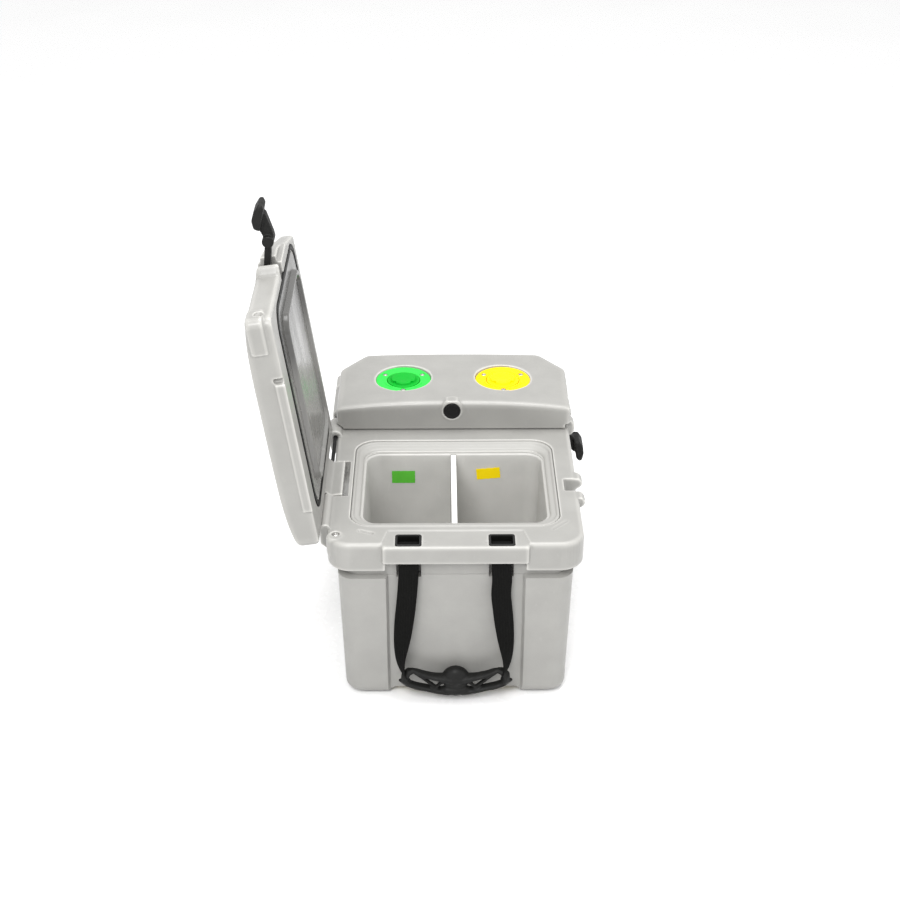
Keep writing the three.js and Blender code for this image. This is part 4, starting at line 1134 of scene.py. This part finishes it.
def make_grip(end):
    """The moulded grip: a domed middle, two pairs of arms joined by cross struts, and a loop at each end."""
    y = -294.5
    parts = []
    for s in (-1, 1):
        upper = [(s * 4, y, 44), (s * 20, y, 47), (s * 34, y, 49), (s * 50, y, 53.5), (s * 64, y, 60),
                 (s * 73, y, 65)]
        parts.append(limb(upper, [7, 6.5, 5.4, 5.0, 4.2, 2.2], 1.7))
        lower = [(s * 10, y, 19), (s * 30, y, 21.5), (s * 48, y, 26), (s * 66, y, 30.5), (s * 80, y, 36.5),
                 (s * 94, y, 43)]
        parts.append(limb(lower, [6, 5.6, 5.2, 5.4, 5.2, 1.6], 1.6))
        parts.append(limb([(s * 67, y, 59), (s * 56, y, 49), (s * 42, y, 36), (s * 28, y, 22)],
                          [3.2, 2.8, 2.8, 3.4], 1.6))
        parts.append(limb([(s * 22, y, 40), (s * 30, y, 30), (s * 38, y, 22)], [3.2, 2.6, 3], 1.5))
        parts.append(limb([(s * 70, y, 62), (s * 77, y, 60), (s * 83, y, 52), (s * 84, y, 44),
                           (s * 78, y, 37)],
                          [4.2, 6, 7, 7, 5.5], 1.5))
    dome = [(r, z) for r, z in ((0, 0), (6, 0.3), (12, 1.2), (18, 3.4), (21.5, 7), (22.6, 11), (22.6, 17),
                                (21, 19.5), (0, 20))]
    hump = turned(dome, (0, 0), 48)
    moved(hump, Matrix.Translation(Vector((0, -0.3045, 0.044))) @ Matrix.Rotation(math.radians(-90), 4, "X"))
    parts.append(hump)
    parts.append(limb([(-26, y, 22), (-16, y, 22.5), (0, y, 23), (16, y, 22.5), (26, y, 22)],
                      [4, 8.5, 10.5, 8.5, 4], 1.1))
    grip = parts[0]
    bpy.ops.object.select_all(action="DESELECT")
    for part in parts:
        part.select_set(True)
    bpy.context.view_layer.objects.active = grip
    bpy.ops.object.join()
    soften(grip, 1.2, 3)
    if end == "rear":
        moved(grip, Matrix.Rotation(math.pi, 4, "Z"))
    return piece(grip, f"{end}_handle_grip", "rubber", f"{end}_handle", "rubber", f"{end}_grip")


def make_slot_insert(end, hand):
    node = f"{end}_{hand}_slot_insert"
    low, high = box_mm(node)
    y = (low.y + high.y) / 2
    x = slot_x((low.x + high.x) / 2, y)
    half_x, half_y = (high.x - low.x) / 2, (high.y - low.y) / 2
    top, foot = high.z, PANEL["bottom"] + 3
    frame_rings = [at_z(rectangle(half_x - 1.6, half_y - 1.6, 3, x, y, 4), foot),
                   at_z(rectangle(half_x - 1.6, half_y - 1.6, 3, x, y, 4), top - 2.2),
                   at_z(rectangle(half_x - 0.1, half_y - 0.1, 4, x, y, 4), top - 2.1),
                   at_z(rectangle(half_x, half_y, 4, x, y, 4), top - 0.8),
                   at_z(rectangle(half_x - 0.7, half_y - 0.7, 3.6, x, y, 4), top)]
    insert = loft(frame_rings)
    window = loft([at_z(rectangle(half_x - 4.6, half_y - 5, 2.4, x, y, 4), foot - 2),
                   at_z(rectangle(half_x - 4.6, half_y - 5, 2.4, x, y, 4), top - 3),
                   at_z(rectangle(half_x - 3.2, half_y - 3.4, 3, x, y, 4), top + 1)])
    cut(insert, window)
    bar = rod(3.6, (x - half_x + 3, y, top - 12), (x + half_x - 3, y, top - 12), 24)
    join(insert, bar)
    crease(insert, 35)
    return piece(insert, f"{end}_{hand}_slot_frame", "black_plastic", "base", "black_plastic", node)


# ---------------------------------------------------------------- small pieces
def make_divider():
    low, high = box_mm("tank_divider")
    foot_y = FRONT_TAPER * (high.y - low.y) / 2
    middle = (low.y + high.y) / 2
    points = [(middle - foot_y, low.z), (middle + foot_y, low.z), (high.y, high.z), (low.y, high.z)]
    rings = [[(x, p[0], p[1]) for p in rounded(points, 2, 3)] for x in (low.x, high.x)]
    divider = chamfered(loft(rings), 1.4, 3, 50)
    return piece(divider, "tank_divider_board", "divider", "divider", "divider", "tank_divider")


FRONT_TAPER = 0.953


def make_label(node, wobble):
    """A sticker that follows the wall that it is on, with slightly uneven edges."""
    source = frame["nodes"][node]
    corners = [v.co / MM for v in source.data.vertices]
    centre = sum(corners, Vector()) / len(corners)
    left_low = min(corners, key=lambda c: c.x + c.z)
    right_low = max(corners, key=lambda c: c.x - c.z)
    left_high = min(corners, key=lambda c: c.x - c.z)
    across = (right_low - left_low).normalized()
    rise = (left_high - left_low).normalized()
    half_u, half_v = (right_low - left_low).length / 2, (left_high - left_low).length / 2
    out = across.cross(rise).normalized()
    if out.y > 0:
        out = -out
    count = 10
    outline = []
    edges = [((-1, -1), (1, -1)), ((1, -1), (1, 1)), ((1, 1), (-1, 1)), ((-1, 1), (-1, -1))]
    for k, (a, b) in enumerate(edges):
        for i in range(count):
            t = i / count
            u = a[0] + (b[0] - a[0]) * t
            v = a[1] + (b[1] - a[1]) * t
            ripple = wobble * math.sin(7.3 * t * math.pi + 1.7 * k) * math.sin(math.pi * t)
            outline.append((u * (half_u - 0.3) + (ripple if k % 2 else 0),
                            v * (half_v - 0.3) + (0 if k % 2 else ripple)))
    rings = []
    for inset, lift in ((1.0, -0.35), (1.0, 0.25), (0.985, 0.4)):
        rings.append([tuple(centre + across * u * inset + rise * v * inset + out * lift) for u, v in outline])
    label = crease(loft(rings), 40)
    return piece(label, f"{node}_sticker", node, "base", node, node)


def make_pin(node, body, look, slot):
    low, high = box_mm(node)
    x, z, radius = (low.x + high.x) / 2, (low.z + high.z) / 2, (high.x - low.x) / 2
    pin = chamfered(rod(radius * 0.97, (x, low.y, z), (x, high.y, z), 32), 0.8, 2, 40)
    return piece(pin, f"{node}_rod", look, body, slot, node)


def make_plug():
    x, z = PLUG["x"], PLUG["z"]
    face = LID["split"] - 0.8
    rings = []
    for r, y in ((9, face + 0.9), (11.2, face + 0.5), (12.4, face), (PLUG["radius"] - 0.8, face + 0.1),
                 (PLUG["radius"], face + 1),
                 (PLUG["radius"], face + 4.2), (10.6, face + 4.4), (10.6, face + 14)):
        rings.append([(x + r * math.cos(TAU * i / 64), y, z + r * math.sin(TAU * i / 64)) for i in range(64)])
    plug = crease(loft(rings), 40)
    return piece(plug, "foam_hole_plug", "seal_rubber", "rear_lid", "seal_rubber", "rear_lid_plug")


def make_drain():
    low, high = box_mm("drain_plug")
    x, z = (low.x + high.x) / 2, (low.z + high.z) / 2
    radius = (high.x - low.x) / 2
    back = high.y - 7.2
    head = []
    for r, y in ((10, low.y), (10, back), (radius, back), (radius, high.y - 1.4), (radius - 1.4, high.y)):
        head.append([((x + (r - (0.7 if r > 12 and i % 8 < 3 else 0)) * math.cos(TAU * i / 96)), y,
                      z + (r - (0.7 if r > 12 and i % 8 < 3 else 0)) * math.sin(TAU * i / 96))
                      for i in range(96)])
    plug = loft(head)
    cut(plug, block(x - 9, x + 9, high.y - 2.6, high.y + 3, z - 1.8, z + 1.8))
    chamfered(plug, 0.4, 2, 35)
    piece(plug, "drain_knob", "black_plastic", "drain", "black_plastic", "drain_plug")


def make_foot(node):
    low, high = box_mm(node)
    centre = ((low.x + high.x) / 2, (low.y + high.y) / 2)
    radius = (high.x - low.x) / 2
    profile = [(0, 0.9), (radius - 9, 0.9), (radius - 8, 0), (radius - 1.2, 0), (radius, 1.2),
               (radius, high.z), (0, high.z)]
    foot = crease(turned(profile, centre, 48), 35)
    return piece(foot, f"{node}_pad", "seal_rubber", "base", "seal_rubber", node)


# ---------------------------------------------------------------- the object
make_body()
make_rim()
for tub_name, tub_well in WELLS.items():
    make_tub(tub_name, tub_well)
make_divider()
make_label("green_label", 0.25)
make_label("yellow_label", 0.6)

make_front_lid()
make_front_lid_core()
make_rear_lid()
make_lid_panel("front_lid_panel", WELLS["front_tub"], "front_lid", OPENED)
make_lid_panel("rear_lid_panel", WELLS["rear_tub"], "rear_lid")
make_gasket("front_lid_gasket", WELLS["front_tub"], "front_lid", OPENED)
make_gasket("rear_lid_gasket", WELLS["rear_tub"], "rear_lid")

for lid_side in ("front", "rear"):
    joint = next(j for j in frame["joints"] if j["name"] == f"{lid_side}_latch_pivot")
    pivot_point = Vector(joint["pos_m"])
    rest_turn = LATCH_TURN[lid_side] + (open_degrees if lid_side == "front" else 0)
    make_latch(lid_side, pivot_point, rest_turn, f"{lid_side}_latch")
    make_pin(f"{lid_side}_latch_pin", f"{lid_side}_lid", "steel", "steel")
    make_pin(f"{lid_side}_hinge_pin", "base", "hinge_pin", "hinge_pin")
    screw_low, screw_high = box_mm(f"{lid_side}_hinge_screw")
    make_screw(f"{lid_side}_corner_screw", (screw_low.x + screw_high.x) / 2, (screw_low.y + screw_high.y) / 2,
               screw_high.z, 5, 13, "base", f"{lid_side}_hinge_screw")
    make_grip(lid_side)
    for tape_side, tape_hand in ((-1, "left"), (1, "right")):
        make_tape(lid_side, tape_side)
        make_slot_insert(lid_side, tape_hand)
        make_foot(f"{lid_side}_{tape_hand}_foot")

for hatch_colour, hatch_x in (("green", -HATCH["x"]), ("yellow", HATCH["x"])):
    make_hatch(hatch_colour, hatch_x)
make_plug()
make_drain()
flank_place = (OPENED @ Matrix.Translation(Vector(FLANK_SCREW) * MM)
               @ Matrix.Rotation(math.radians(90), 4, "Y"))
make_screw("flank_screw", 0, 0, -1, 5, 13, "front_lid", "front_lid_screw", flank_place)

KEPT = {"foam": ("base_foam", "rear_lid_foam"),
        "seal_rubber": ("green_hatch_seal", "yellow_hatch_seal", "drain_seal")}
for kept_look, kept_nodes in KEPT.items():
    for kept_node in kept_nodes:
        dress(frame["nodes"][kept_node], kept_look)

# ---------------------------------------------------------------- studio
FLOOR_HALF = 6.0


def make_floor():
    bm = bmesh.new()
    steps = 24
    for i in range(steps + 1):
        for j in range(steps + 1):
            bm.verts.new(((2 * i / steps - 1) * FLOOR_HALF / MM, (2 * j / steps - 1) * FLOOR_HALF / MM, -0.6))
    bm.verts.ensure_lookup_table()
    for i in range(steps):
        for j in range(steps):
            a = i * (steps + 1) + j
            bm.faces.new((bm.verts[a], bm.verts[a + steps + 1], bm.verts[a + steps + 2], bm.verts[a + 1]))
    floor = new_object("floor", bm)
    paint = Painter("floor")
    paint.colour(paint.mix(paint.noise(3, 2), (0.88, 0.88, 0.88), (0.92, 0.92, 0.92)))
    paint.roughness(paint.ramp(paint.noise(40, 2), 0.3, 0.7, 0.22, 0.3))
    floor.data.materials.append(paint.material)


def make_light(name, place, target, size, power):
    data = bpy.data.lights.new(name, "AREA")
    data.shape = "RECTANGLE"
    data.size, data.size_y = size
    data.energy = power
    light = bpy.data.objects.new(name, data)
    light.location = place
    light.rotation_euler = (Vector(target) - Vector(place)).to_track_quat("-Z", "Y").to_euler()
    bpy.context.scene.collection.objects.link(light)


def make_camera():
    data = bpy.data.cameras.new("camera")
    data.lens = 62.4
    data.sensor_width = 36
    camera = bpy.data.objects.new("camera", data)
    camera.location = (-0.02457, -2.33646, 1.66313)
    camera.rotation_euler = (math.radians(90 - 30.06), 0, math.radians(-0.43))
    bpy.context.scene.collection.objects.link(camera)
    bpy.context.scene.camera = camera


def make_world():
    world = bpy.data.worlds.new("studio")
    world.use_nodes = True
    world.node_tree.nodes["Background"].inputs["Color"].default_value = (1, 1, 1, 1)
    world.node_tree.nodes["Background"].inputs["Strength"].default_value = 0.95
    bpy.context.scene.world = world


make_floor()
make_world()
# The plain view transform keeps the ground white and the green and yellow pure.
bpy.context.scene.view_settings.view_transform = "Standard"
make_light("key", (-0.7, -2.6, 2.9), (0, 0, 0.25), (1.5, 1.5), 95)
make_light("top", (0.2, 0.3, 3.0), (0, 0, 0.3), (1.8, 1.8), 60)
make_light("fill", (2.4, -1.4, 1.5), (0, 0, 0.25), (1.2, 1.2), 10)
make_camera()
